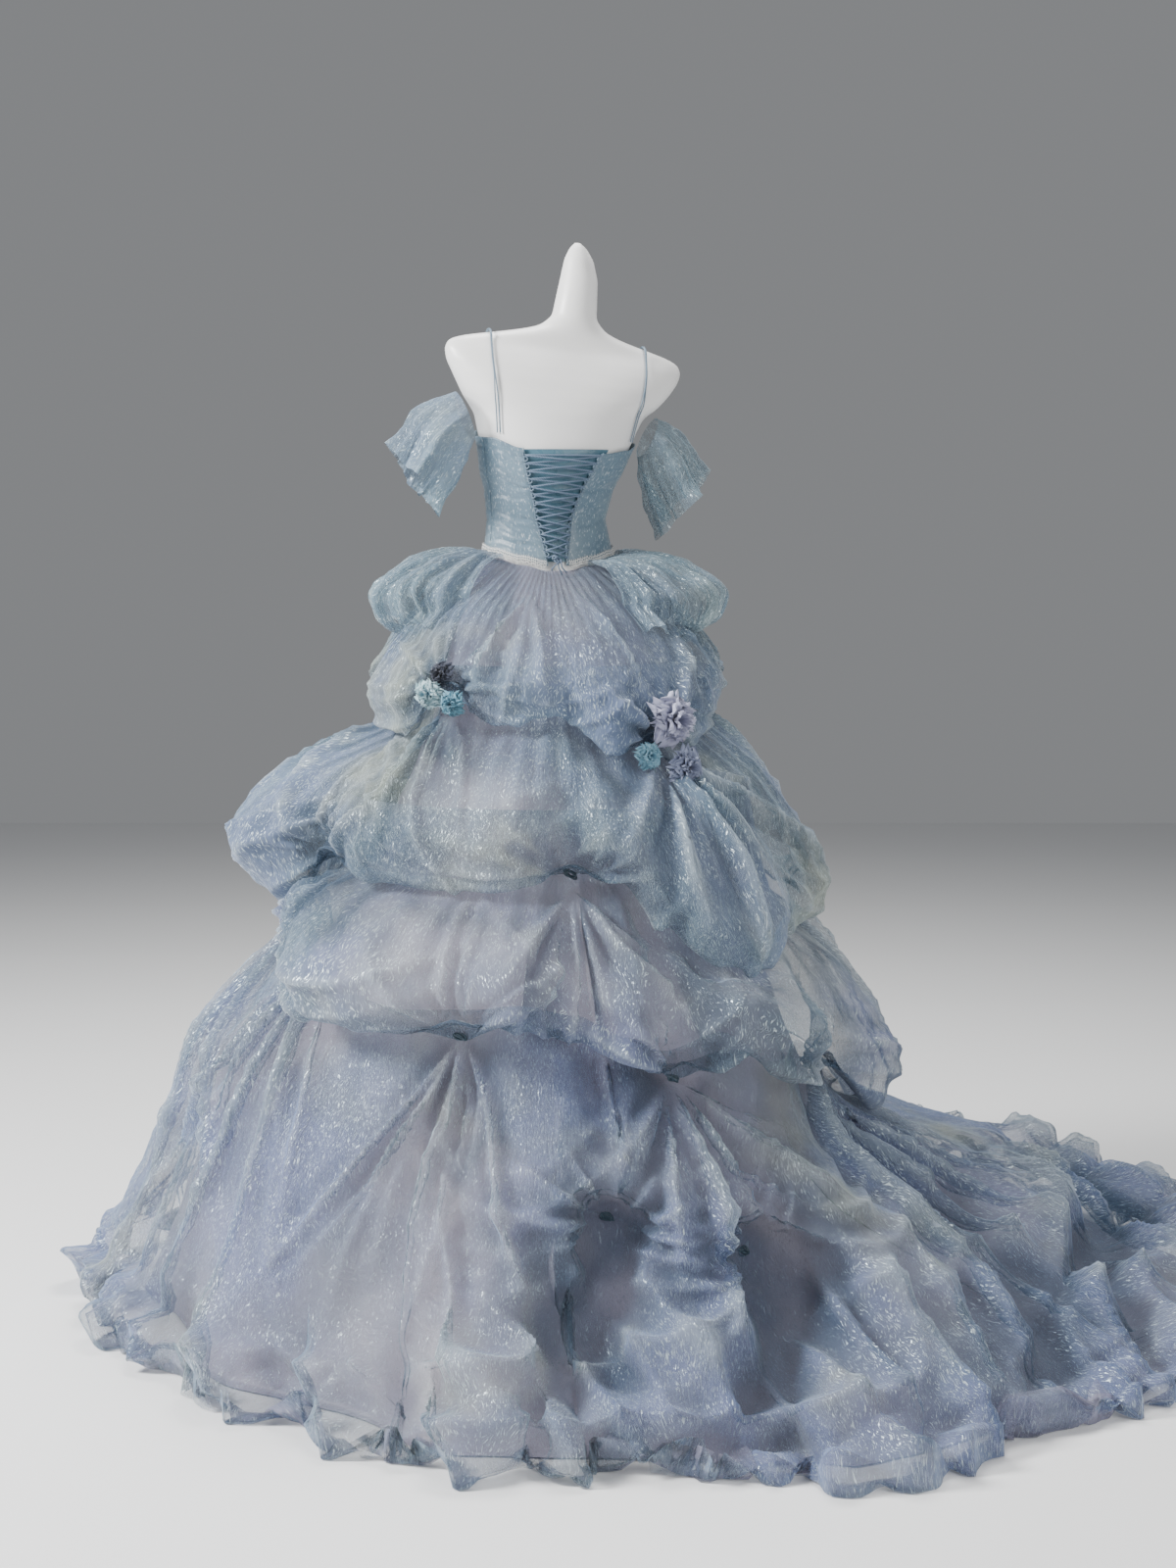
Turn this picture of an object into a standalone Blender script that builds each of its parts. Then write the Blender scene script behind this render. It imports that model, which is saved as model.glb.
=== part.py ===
"""Ball gown on a limbless dress form.

Metres, +Z up, origin on the floor under the form's axis. The back of the gown faces -Y and the
train lies towards +X. Cloth is an open surface of rings given a wall by Solidify.
"""

import math
from collections import namedtuple

import bmesh
import bpy
from mathutils import Vector

CLOTH_WALL = 0.002
FINE_WALL = 0.0014
FORM_YAW = math.radians(11)
SHOULDER_ROLL = 0.10
ROLL_START = 1.44
ROLL_FULL = 1.54
FORM_COLUMNS = 24

POLE_RADIUS = 0.014
BASE_RADIUS = 0.19
BASE_HEIGHT = 0.012
BASE_EDGE = 0.003
STAND_COLUMNS = 32
GAP = 0.0004

MODESTY_OFFSET = 0.0018
BODICE_OFFSET = 0.0050
BODICE_MIDDLE = 1.33
FRONT_EASE = 0.0020
SEAM_GAP_TURN = 0.25
MODESTY_TOP = 1.422
MODESTY_BOTTOM = 1.240
MODESTY_LAP_TURN = 7
LOOP_OFFSET = 0.0086
LOOP_RADIUS = 0.0009
LOOP_REACH = 0.0030
LOOPS = 12
LACE_EDGE_OFFSET = 0.0114
LACE_CROSS_LIFT = 0.0028
LACE_RADIUS = 0.0010
LACE_ROWS = 13
LACE_TOP = 1.412
LACE_BOTTOM = 1.246
LACE_INSET_TURN = 0.6
LACE_TOP_STEPS = 5
TRIM_OFFSET = 0.0104
TRIM_RISE = 0.0085
TRIM_DROP = 0.0025
TRIM_START_TURN = 9.5
SCALLOPS = 26
SCALLOP_DEPTH = 0.003
STRAP_WIDTH = 0.005
STRAP_OFFSET = 0.0034
STRAP_ARCH = 0.0200
STRAP_ARCH_STEPS = 6
STRAP_SHOULDER = 1.588
SHOULDER_CENTRE = 0.028

UNDERSKIRT_TOP_OFFSET = 0.0035
OVERSKIRT_TOP_OFFSET = 0.0078
PUFF_TOP_OFFSET = 0.0115
SEAM_DROP = 0.0085
MIDDLE_TOP = (0.212, 1.075)
LOWER_TOP = (0.335, 0.860)
TUCK_IN = 0.022
TUCK_UP = 0.012
NECK_IN = 0.046
NECK_RISE = 0.006
SHOULDER_SHARES = (0.56, 0.42)
UNDERSIDE_SHARES = (0.55, 0.72)
PUFF_CLEAR = 0.014
FLOOR_LIFT = 0.0016
UNDERSKIRT_LIFT = 0.0026

# One row per horizontal section of the form, from the hips to the tip of the neck.
Section = namedtuple("Section", "height centre_x half_width back_depth front_depth squareness")
FORM_SECTIONS = [
    Section(0.960, 0.000, 0.118, 0.085, 0.085, 2.0),
    Section(0.980, 0.000, 0.130, 0.097, 0.097, 2.0),
    Section(1.080, 0.000, 0.141, 0.108, 0.100, 2.0),
    Section(1.170, 0.000, 0.126, 0.095, 0.090, 2.0),
    Section(1.235, 0.000, 0.104, 0.078, 0.080, 2.0),
    Section(1.265, -0.001, 0.099, 0.073, 0.076, 2.0),
    Section(1.310, -0.004, 0.092, 0.070, 0.078, 2.0),
    Section(1.360, 0.001, 0.101, 0.078, 0.096, 2.0),
    Section(1.385, 0.005, 0.111, 0.083, 0.108, 2.1),
    Section(1.430, 0.013, 0.124, 0.088, 0.112, 2.2),
    Section(1.480, 0.018, 0.141, 0.088, 0.096, 2.2),
    Section(1.503, 0.020, 0.162, 0.083, 0.084, 2.3),
    Section(1.530, 0.022, 0.180, 0.072, 0.070, 2.4),
    Section(1.552, 0.024, 0.193, 0.060, 0.058, 2.4),
    Section(1.570, 0.026, 0.198, 0.048, 0.047, 2.4),
    Section(1.585, 0.027, 0.192, 0.037, 0.036, 2.3),
    Section(1.594, 0.029, 0.168, 0.034, 0.033, 2.2),
    Section(1.603, 0.032, 0.126, 0.034, 0.033, 2.1),
    Section(1.612, 0.036, 0.086, 0.034, 0.033, 2.0),
    Section(1.622, 0.041, 0.055, 0.034, 0.033, 2.0),
    Section(1.640, 0.044, 0.037, 0.034, 0.033, 2.0),
    Section(1.672, 0.048, 0.034, 0.032, 0.032, 2.0),
    Section(1.703, 0.052, 0.031, 0.030, 0.030, 2.0),
    Section(1.735, 0.052, 0.024, 0.023, 0.023, 2.0),
    Section(1.754, 0.051, 0.014, 0.014, 0.014, 2.0),
    Section(1.762, 0.050, 0.005, 0.005, 0.005, 2.0),
]

# Edges of the bodice round the form: the turn is measured from the centre back towards +X.
Edge = namedtuple("Edge", "turn top bottom")
BODICE_EDGES = [
    Edge(-180, 1.452, 1.236),
    Edge(-150, 1.474, 1.242),
    Edge(-120, 1.458, 1.253),
    Edge(-90, 1.446, 1.263),
    Edge(-60, 1.442, 1.255),
    Edge(-30, 1.424, 1.243),
    Edge(-8, 1.420, 1.234),
    Edge(8, 1.416, 1.234),
    Edge(30, 1.415, 1.242),
    Edge(60, 1.422, 1.252),
    Edge(90, 1.436, 1.260),
    Edge(120, 1.452, 1.252),
    Edge(150, 1.472, 1.242),
]

# The opening of the lacing: half of its width at each height.
Opening = namedtuple("Opening", "height half_width")
BACK_OPENING = [
    Opening(1.225, 0.0145),
    Opening(1.250, 0.0160),
    Opening(1.295, 0.0240),
    Opening(1.335, 0.0330),
    Opening(1.376, 0.0466),
    Opening(1.430, 0.0640),
]

SIDE_SEAM = 72
FRONT_SEAM = 112

# Skirt stations: the turn in degrees from the back (-Y) towards +X, then radius and height of the
# fullest place and of the lower edge.
Station = namedtuple("Station", "turn belly_r belly_z hem_r hem_z")
UPPER_TIER = [
    Station(-180, 0.300, 1.060, 0.300, 0.975),
    Station(-150, 0.315, 1.050, 0.305, 0.960),
    Station(-120, 0.300, 1.060, 0.300, 0.975),
    Station(-90, 0.290, 1.068, 0.272, 1.004),
    Station(-62, 0.312, 1.045, 0.296, 0.970),
    Station(-45, 0.340, 1.045, 0.324, 0.962),
    Station(-29, 0.305, 1.085, 0.316, 1.036),
    Station(-14, 0.342, 1.060, 0.332, 0.985),
    Station(2, 0.345, 1.075, 0.330, 1.004),
    Station(18, 0.372, 1.020, 0.356, 0.942),
    Station(32, 0.330, 1.020, 0.342, 0.962),
    Station(48, 0.336, 1.035, 0.320, 0.955),
    Station(66, 0.305, 1.060, 0.290, 0.985),
    Station(90, 0.278, 1.090, 0.262, 1.030),
    Station(120, 0.305, 1.060, 0.292, 0.980),
    Station(150, 0.312, 1.055, 0.300, 0.968),
]
MIDDLE_TIER = [
    Station(-180, 0.430, 0.810, 0.400, 0.715),
    Station(-150, 0.455, 0.800, 0.415, 0.700),
    Station(-120, 0.490, 0.815, 0.435, 0.705),
    Station(-92, 0.516, 0.830, 0.446, 0.708),
    Station(-72, 0.522, 0.815, 0.455, 0.700),
    Station(-54, 0.432, 0.850, 0.425, 0.768),
    Station(-36, 0.462, 0.840, 0.430, 0.752),
    Station(-12, 0.458, 0.840, 0.430, 0.748),
    Station(5, 0.425, 0.850, 0.418, 0.762),
    Station(15, 0.480, 0.822, 0.440, 0.748),
    Station(22, 0.500, 0.760, 0.470, 0.690),
    Station(30, 0.552, 0.715, 0.520, 0.630),
    Station(40, 0.560, 0.700, 0.530, 0.618),
    Station(52, 0.492, 0.740, 0.468, 0.652),
    Station(70, 0.466, 0.745, 0.440, 0.662),
    Station(90, 0.446, 0.748, 0.420, 0.684),
    Station(120, 0.455, 0.775, 0.420, 0.695),
    Station(150, 0.440, 0.800, 0.405, 0.700),
]
LOWER_TIER = [
    Station(-180, 0.510, 0.560, 0.485, 0.470),
    Station(-150, 0.520, 0.570, 0.490, 0.480),
    Station(-120, 0.500, 0.620, 0.470, 0.545),
    Station(-92, 0.432, 0.700, 0.436, 0.655),
    Station(-72, 0.440, 0.700, 0.444, 0.650),
    Station(-55, 0.500, 0.700, 0.505, 0.600),
    Station(-38, 0.590, 0.640, 0.548, 0.552),
    Station(-25, 0.602, 0.625, 0.562, 0.540),
    Station(-13, 0.550, 0.620, 0.560, 0.545),
    Station(-4, 0.592, 0.632, 0.556, 0.552),
    Station(6, 0.508, 0.640, 0.520, 0.530),
    Station(14, 0.580, 0.585, 0.546, 0.500),
    Station(22, 0.532, 0.560, 0.540, 0.474),
    Station(31, 0.600, 0.590, 0.562, 0.500),
    Station(44, 0.618, 0.530, 0.565, 0.440),
    Station(58, 0.512, 0.520, 0.520, 0.448),
    Station(75, 0.585, 0.450, 0.545, 0.360),
    Station(92, 0.578, 0.405, 0.532, 0.322),
    Station(120, 0.560, 0.450, 0.525, 0.372),
    Station(150, 0.535, 0.510, 0.500, 0.430),
]

# The hem overskirt: the radius at each of its heights.
Fall = namedtuple("Fall", "turn r1 r2 r3 r4 r5 r6 r7")
FALL_HEIGHTS = [0.600, 0.470, 0.350, 0.250, 0.160, 0.080, 0.022]
HEM_ROWS = 9
HEM_COLUMNS = 78
HEM_BILLOW = 0.028
HEM_TUCK = 0.040
UNDERSKIRT_COLUMNS = 32
UNDERSKIRT_SEAM = 0.12
UNDERSKIRT_WAVE = 0.006
UNDERSKIRT_GAP = (0.026, 0.105)
HEM_TOP = 0.690
HEM_TOP_IN = 0.024
HEM_TOP_RISE = 0.030
NECK_ROW = 2
HEM_FALL = [
    Fall(-180, 0.430, 0.470, 0.580, 0.630, 0.680, 0.730, 0.755),
    Fall(-150, 0.432, 0.475, 0.590, 0.640, 0.690, 0.740, 0.765),
    Fall(-120, 0.440, 0.555, 0.610, 0.660, 0.705, 0.752, 0.780),
    Fall(-90, 0.508, 0.590, 0.642, 0.682, 0.722, 0.765, 0.790),
    Fall(-69, 0.500, 0.565, 0.610, 0.645, 0.680, 0.715, 0.735),
    Fall(-45, 0.455, 0.560, 0.615, 0.655, 0.695, 0.745, 0.780),
    Fall(-28, 0.440, 0.530, 0.600, 0.645, 0.690, 0.745, 0.775),
    Fall(-11, 0.440, 0.545, 0.615, 0.675, 0.735, 0.815, 0.862),
    Fall(3, 0.440, 0.530, 0.640, 0.690, 0.730, 0.815, 0.868),
    Fall(10, 0.440, 0.485, 0.630, 0.665, 0.720, 0.830, 0.885),
    Fall(20, 0.440, 0.480, 0.625, 0.700, 0.755, 0.870, 0.935),
    Fall(28, 0.440, 0.490, 0.620, 0.680, 0.750, 0.905, 0.985),
    Fall(38, 0.440, 0.490, 0.600, 0.710, 0.815, 0.935, 1.005),
    Fall(50, 0.440, 0.482, 0.560, 0.680, 0.830, 0.950, 1.025),
    Fall(64, 0.440, 0.478, 0.530, 0.670, 0.880, 1.050, 1.130),
    Fall(78, 0.440, 0.478, 0.512, 0.720, 0.970, 1.150, 1.225),
    Fall(92, 0.440, 0.478, 0.512, 0.780, 1.020, 1.175, 1.245),
    Fall(106, 0.440, 0.478, 0.512, 0.760, 0.990, 1.120, 1.185),
    Fall(122, 0.440, 0.478, 0.520, 0.650, 0.840, 0.970, 1.040),
    Fall(150, 0.435, 0.472, 0.545, 0.620, 0.700, 0.780, 0.830),
]

# The underskirt: its upper rings; below them it keeps inside the hem overskirt.
UnderRing = namedtuple("UnderRing", "height radius")
UNDERSKIRT_RINGS = [
    UnderRing(1.120, 0.160),
    UnderRing(0.960, 0.205),
    UnderRing(0.790, 0.280),
]

# The underskirt's panels, each from one seam to the next.
Gore = namedtuple("Gore", "name start end")
UNDERSKIRT_GORES = [
    Gore("underskirt_left", -180, -60),
    Gore("underskirt_back", -60, 60),
    Gore("underskirt_right", 60, 180),
]

# Places on the hem overskirt that are tacked in (negative depth) or stand out between the tacks.
Tack = namedtuple("Tack", "turn height depth turn_spread height_spread")
HEM_TACKS = [
    Tack(9, 0.285, -0.050, 6, 0.050),
    Tack(28, 0.225, -0.050, 6, 0.050),
    Tack(-3, 0.330, 0.030, 9, 0.070),
    Tack(18, 0.300, 0.035, 8, 0.070),
    Tack(40, 0.280, 0.035, 10, 0.070),
    Tack(-14, 0.440, -0.030, 5, 0.060),
    Tack(-28, 0.300, 0.020, 10, 0.120),
    Tack(58, 0.330, -0.030, 8, 0.060),
    Tack(-150, 0.300, -0.035, 8, 0.060),
    Tack(165, 0.260, -0.035, 8, 0.060),
]

Puff = namedtuple("Puff", "share reach rise")
PUFF_PROFILE = [
    Puff(0.00, 0.000, 0.000),
    Puff(0.10, 0.100, 0.012),
    Puff(0.35, 0.470, 0.004),
    Puff(0.60, 0.780, -0.020),
    Puff(0.80, 1.000, -0.052),
    Puff(0.92, 0.930, -0.094),
    Puff(1.00, 0.760, -0.106),
]
PUFF_REACH = 0.182
PUFF_COLUMNS = 15
PUFF_WAVES = 5

SleeveRing = namedtuple("SleeveRing", "x z across_x across_z half_depth wave")
LEFT_SLEEVE = [
    SleeveRing(-0.140, 1.478, 0.016, -0.040, 0.058, 0.000),
    SleeveRing(-0.164, 1.455, 0.026, -0.044, 0.060, 0.003),
    SleeveRing(-0.187, 1.428, 0.032, -0.046, 0.061, 0.006),
    SleeveRing(-0.205, 1.400, 0.030, -0.044, 0.058, 0.007),
    SleeveRing(-0.224, 1.372, 0.031, -0.043, 0.063, 0.010),
]
RIGHT_SLEEVE = [
    SleeveRing(0.168, 1.446, -0.014, -0.032, 0.055, 0.000),
    SleeveRing(0.184, 1.420, -0.024, -0.036, 0.058, 0.003),
    SleeveRing(0.201, 1.390, -0.030, -0.038, 0.059, 0.006),
    SleeveRing(0.216, 1.360, -0.031, -0.037, 0.056, 0.007),
    SleeveRing(0.230, 1.332, -0.032, -0.040, 0.060, 0.010),
]
SLEEVE_COLUMNS = 16
SLEEVE_WAVES = 4

# Strap routes in the form's own directions: place across and height, up the back.
StrapPoint = namedtuple("StrapPoint", "across height")
LEFT_STRAP = [
    StrapPoint(-0.107, 1.449),
    StrapPoint(-0.112, 1.480),
    StrapPoint(-0.117, 1.504),
    StrapPoint(-0.121, 1.532),
    StrapPoint(-0.125, 1.560),
    StrapPoint(-0.127, 1.588),
]
RIGHT_STRAP = [
    StrapPoint(0.118, 1.436),
    StrapPoint(0.122, 1.480),
    StrapPoint(0.126, 1.504),
    StrapPoint(0.129, 1.532),
    StrapPoint(0.131, 1.560),
    StrapPoint(0.131, 1.588),
]

Flower = namedtuple("Flower", "name x z depth radius colour")
FLOWERS = [
    Flower("flower_left_dark", -0.160, 1.068, 0.316, 0.017, (0.030, 0.035, 0.055)),
    Flower("flower_left_pale", -0.178, 1.036, 0.329, 0.021, (0.330, 0.520, 0.600)),
    Flower("flower_right_lilac", 0.192, 0.998, 0.351, 0.034, (0.330, 0.340, 0.480)),
    Flower("flower_right_turquoise", 0.158, 0.944, 0.354, 0.019, (0.200, 0.430, 0.560)),
    Flower("flower_right_grey", 0.214, 0.926, 0.376, 0.025, (0.200, 0.230, 0.360)),
]
PETALS = 5
FLOWER_COLUMNS = 10
FLOWER_ROWS = 4

STEEL_BLUE = (0.195, 0.285, 0.395)
PALE_BLUE = (0.250, 0.340, 0.430)
DEEP_BLUE = (0.155, 0.235, 0.375)
LILAC = (0.400, 0.370, 0.480)
SATIN_BLUE = (0.170, 0.265, 0.350)
TEAL_SATIN = (0.095, 0.195, 0.255)
FORM_WHITE = (0.870, 0.865, 0.850)
LACE_WHITE = (0.760, 0.760, 0.720)
STAND_GREY = (0.450, 0.450, 0.450)


def mix(first, second, share):
    """Value between two numbers."""
    return first + (second - first) * share


def smooth(share):
    """Soft step from 0 to 1."""
    share = min(max(share, 0.0), 1.0)
    return share * share * (3 - 2 * share)


def table_at(rows, key, place):
    """All other columns of a table at one place of its first column, joined by straight lines."""
    if place <= getattr(rows[0], key):
        return rows[0]
    for low, high in zip(rows, rows[1:]):
        start, end = getattr(low, key), getattr(high, key)
        if place <= end:
            share = (place - start) / (end - start)
            return type(low)(*[mix(a, b, share) for a, b in zip(low, high)])
    return rows[-1]


def round_table_at(rows, turn):
    """All columns of a table that goes once round, at one turn, with soft steps between rows."""
    turn = (turn - rows[0].turn) % 360 + rows[0].turn
    last = rows[0]._replace(turn=rows[0].turn + 360)
    for low, high in zip(rows, rows[1:] + [last]):
        if turn <= high.turn:
            share = smooth((turn - low.turn) / (high.turn - low.turn))
            return type(low)(*[mix(a, b, share) for a, b in zip(low, high)])
    return last


def signed_power(value, power):
    """Power of a number that keeps its sign."""
    return math.copysign(abs(value) ** power, value)


def form_point(height, turn, offset=0.0):
    """Point on the form at a height and turn, moved out by an offset, with the shoulders' roll."""
    row = table_at(FORM_SECTIONS, "height", height)
    angle = math.radians(turn)
    power = 2 / row.squareness
    depth = row.back_depth if math.cos(angle) > 0 else row.front_depth
    across = (row.half_width + offset) * signed_power(math.sin(angle), power)
    y = -(depth + offset) * signed_power(math.cos(angle), power)
    roll = smooth((height - ROLL_START) / (ROLL_FULL - ROLL_START)) * SHOULDER_ROLL
    return Vector((row.centre_x + across, y, height - roll * across))


def polar(turn, radius, height):
    """Point at a turn, radius and height round the form's axis."""
    angle = math.radians(turn)
    return Vector((radius * math.sin(angle), -radius * math.cos(angle), height))


def curve_through(points, share):
    """Point on a smooth line through control points."""
    spans = len(points) - 1
    place = min(share * spans, spans - 1e-9)
    index = int(place)
    step = place - index
    before = points[max(index - 1, 0)]
    start = points[index]
    end = points[index + 1]
    after = points[min(index + 2, spans)]
    return [
        0.5 * (2 * b + (c - a) * step + (2 * a - 5 * b + 4 * c - d) * step**2
               + (3 * b - a - 3 * c + d) * step**3)
        for a, b, c, d in zip(before, start, end, after)
    ]


def make_material(name, colour, roughness):
    """Principled material of one colour."""
    material = bpy.data.materials.new(name)
    material.use_nodes = True
    shader = material.node_tree.nodes["Principled BSDF"]
    shader.inputs["Base Color"].default_value = (*colour, 1.0)
    shader.inputs["Roughness"].default_value = roughness
    shader.inputs["Metallic"].default_value = 0.0
    return material


def add_object(name, data, colour, roughness, yaw=0.0):
    """Object with its own material in the gown's collection."""
    item = bpy.data.objects.new(name, data)
    data.materials.append(make_material(name + "_finish", colour, roughness))
    item.rotation_euler.z = yaw
    parts.objects.link(item)
    return item


def mesh_of(name, points, faces):
    """Mesh with smooth faces."""
    mesh = bpy.data.meshes.new(name)
    mesh.from_pydata([tuple(point) for point in points], [], faces)
    mesh.shade_smooth()
    return mesh


def grid_faces(rows, columns, ring):
    """Quads of a grid of points, closed round its columns if it is a ring."""
    faces = []
    for row in range(rows - 1):
        for column in range(columns if ring else columns - 1):
            beside = (column + 1) % columns
            low, high = row * columns, (row + 1) * columns
            faces.append((low + column, low + beside, high + beside, high + column))
    return faces


def cloth(name, grid, ring, colour, roughness=0.6, wall=CLOTH_WALL, yaw=0.0):
    """Cloth wall through a grid of points, a list of rows."""
    points = [point for row in grid for point in row]
    mesh = mesh_of(name, points, grid_faces(len(grid), len(grid[0]), ring))
    item = add_object(name, mesh, colour, roughness, yaw)
    solidify = item.modifiers.new("wall", "SOLIDIFY")
    solidify.thickness = wall
    solidify.offset = 0
    return item


def solid_of_rings(name, rings, colour, roughness, yaw=0.0):
    """Closed solid lofted through rings, with flat ends."""
    count = len(rings[0])
    points = [point for ring in rings for point in ring]
    faces = grid_faces(len(rings), count, True)
    faces.append(tuple(reversed(range(count))))
    faces.append(tuple(len(points) - count + index for index in range(count)))
    mesh = mesh_of(name, points, faces)
    body = bmesh.new()
    body.from_mesh(mesh)
    bmesh.ops.recalc_face_normals(body, faces=body.faces)
    body.to_mesh(mesh)
    body.free()
    return add_object(name, mesh, colour, roughness, yaw)


def tube(name, points, radius, colour, yaw=0.0):
    """Round cord through points, with closed ends."""
    curve = bpy.data.curves.new(name, "CURVE")
    curve.dimensions = "3D"
    curve.bevel_depth = radius
    curve.bevel_resolution = 1
    curve.use_fill_caps = True
    line = curve.splines.new("POLY")
    line.points.add(len(points) - 1)
    for place, point in zip(line.points, points):
        place.co = (*point, 1.0)
    return add_object(name, curve, colour, 0.5, yaw)


def turned(name, profile, steps, colour, roughness):
    """Solid turned about Z from a profile of radius and height."""
    points = [(radius, 0.0, height) for radius, height in profile]
    mesh = bpy.data.meshes.new(name)
    mesh.from_pydata(points, [(i, i + 1) for i in range(len(points) - 1)], [])
    item = add_object(name, mesh, colour, roughness)
    screw = item.modifiers.new("turn", "SCREW")
    screw.steps = steps
    screw.render_steps = steps
    screw.use_merge_vertices = True
    screw.merge_threshold = 0.0001
    return item


def build_form():
    """Torso with shoulder caps and neck, and its stand: a pole on a flat round base."""
    rings = []
    for row in FORM_SECTIONS:
        turns = [360 * column / FORM_COLUMNS for column in range(FORM_COLUMNS)]
        rings.append([form_point(row.height, turn) for turn in turns])
    solid_of_rings("form_torso", rings, FORM_WHITE, 0.35, FORM_YAW)
    rim = BASE_HEIGHT - BASE_EDGE
    profile = [
        (0, FORM_SECTIONS[0].height - GAP),
        (POLE_RADIUS, FORM_SECTIONS[0].height - GAP),
        (POLE_RADIUS, BASE_HEIGHT),
        (BASE_RADIUS - BASE_EDGE, BASE_HEIGHT),
        (BASE_RADIUS, rim),
        (BASE_RADIUS, 0),
        (0, 0),
    ]
    turned("stand", profile, STAND_COLUMNS, STAND_GREY, 0.3)


def opening_turn(height):
    """Turn of the edge of the lacing's opening at a height."""
    half = table_at(BACK_OPENING, "height", height).half_width
    row = table_at(FORM_SECTIONS, "height", height)
    return math.degrees(math.asin(half / (row.half_width + BODICE_OFFSET)))


def bodice_panel(name, start, end, rows, columns, ease=0.0):
    """One panel of the bodice between two seams, each a function of height or a turn."""
    grid = []
    for row in range(rows):
        share = row / (rows - 1)
        line = []
        for column in range(columns):
            across = column / (columns - 1)
            turn = 0.0
            height = BODICE_MIDDLE
            for _ in range(4):
                left = start(height) if callable(start) else start
                right = end(height) if callable(end) else end
                turn = mix(left, right, across)
                edge = round_table_at(BODICE_EDGES, turn)
                height = mix(edge.top, edge.bottom, share)
            line.append(form_point(height, turn, BODICE_OFFSET + ease))
        grid.append(line)
    return cloth(name, grid, False, SATIN_BLUE, 0.45, CLOTH_WALL, FORM_YAW)


def build_bodice():
    """Five panels, the modesty panel, the lacing and the lace at the lower edge."""
    seam = SEAM_GAP_TURN
    bodice_panel("bodice_back_left", -SIDE_SEAM + seam, lambda z: -opening_turn(z), rows=7, columns=6)
    bodice_panel("bodice_back_right", opening_turn, SIDE_SEAM - seam, rows=7, columns=6)
    bodice_panel("bodice_side_left", -FRONT_SEAM + seam, -SIDE_SEAM - seam, rows=7, columns=4)
    bodice_panel("bodice_side_right", SIDE_SEAM + seam, FRONT_SEAM - seam, rows=7, columns=4)
    bodice_panel("bodice_front", FRONT_SEAM + seam, 360 - FRONT_SEAM - seam, rows=9, columns=12,
                 ease=FRONT_EASE)

    grid = []
    for row in range(6):
        height = mix(MODESTY_TOP, MODESTY_BOTTOM, row / 5)
        reach = opening_turn(height) + MODESTY_LAP_TURN
        turns = [mix(-reach, reach, column / 6) for column in range(7)]
        grid.append([form_point(height, turn, MODESTY_OFFSET) for turn in turns])
    cloth("modesty_panel", grid, False, TEAL_SATIN, 0.4, FINE_WALL, FORM_YAW)

    lacing = []
    for side, word in ((-1, "left"), (1, "right")):
        points = []
        for step in range(2 * LOOPS + 1):
            height = mix(LACE_TOP, LACE_BOTTOM, step / (2 * LOOPS))
            row = table_at(FORM_SECTIONS, "height", height)
            inward = -LOOP_REACH if step % 2 else LOOP_REACH * 0.4
            turn = opening_turn(height) + math.degrees(inward / row.half_width)
            points.append(form_point(height, side * turn, LOOP_OFFSET))
        tube("loop_strip_" + word, points, LOOP_RADIUS, SATIN_BLUE, FORM_YAW)

        points = []
        for step in range(2 * LACE_ROWS + 1):
            height = mix(LACE_TOP, LACE_BOTTOM, step / (2 * LACE_ROWS))
            place = step / 2
            swing = 1 - 2 * abs((place % 2) - 1)
            turn = (opening_turn(height) - LACE_INSET_TURN) * swing * side
            lift = LACE_CROSS_LIFT * (1 - swing * swing) if side > 0 else 0.0
            points.append(form_point(height, turn, LACE_EDGE_OFFSET + lift))
        lacing.append(points)
    reach = opening_turn(LACE_TOP) - LACE_INSET_TURN
    across = [mix(reach, -reach, step / LACE_TOP_STEPS) for step in range(1, LACE_TOP_STEPS)]
    top_run = [form_point(LACE_TOP, turn, LACE_EDGE_OFFSET) for turn in across]
    lacing = lacing[0][::-1] + top_run + lacing[1]
    tube("lacing_cord", lacing, LACE_RADIUS, DEEP_BLUE, FORM_YAW)

    columns = 2 * SCALLOPS + 1
    rows = [[], []]
    for column in range(columns):
        turn = mix(TRIM_START_TURN, 360 - TRIM_START_TURN, column / (columns - 1))
        edge = round_table_at(BODICE_EDGES, turn).bottom
        drop = TRIM_DROP if column % 2 == 0 else TRIM_DROP + SCALLOP_DEPTH
        rows[0].append(form_point(edge + TRIM_RISE, turn, TRIM_OFFSET))
        rows[1].append(form_point(edge - drop, turn, TRIM_OFFSET))
    cloth("waist_lace", rows, False, LACE_WHITE, 0.8, FINE_WALL, FORM_YAW)


def build_straps():
    """Two shoulder straps over the form, from the back edge of the bodice to its front edge."""
    for word, route in (("left", LEFT_STRAP), ("right", RIGHT_STRAP)):
        edges = []
        for shift in (-STRAP_WIDTH / 2, STRAP_WIDTH / 2):
            moved = [point._replace(across=point.across + shift) for point in route]
            back = [strap_place(point, 1) for point in moved]
            front = [strap_place(point, -1) for point in reversed(moved[1:])]
            across = moved[-1].across
            arch = []
            for step in range(1, STRAP_ARCH_STEPS):
                angle = math.pi * step / STRAP_ARCH_STEPS
                top = STRAP_SHOULDER + STRAP_ARCH * math.sin(angle) - SHOULDER_ROLL * across
                arch.append(Vector((SHOULDER_CENTRE + across, back[-1].y * math.cos(angle), top)))
            edges.append(back + arch + front)
        cloth("strap_" + word, edges, False, SATIN_BLUE, 0.5, FINE_WALL, FORM_YAW)


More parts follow.
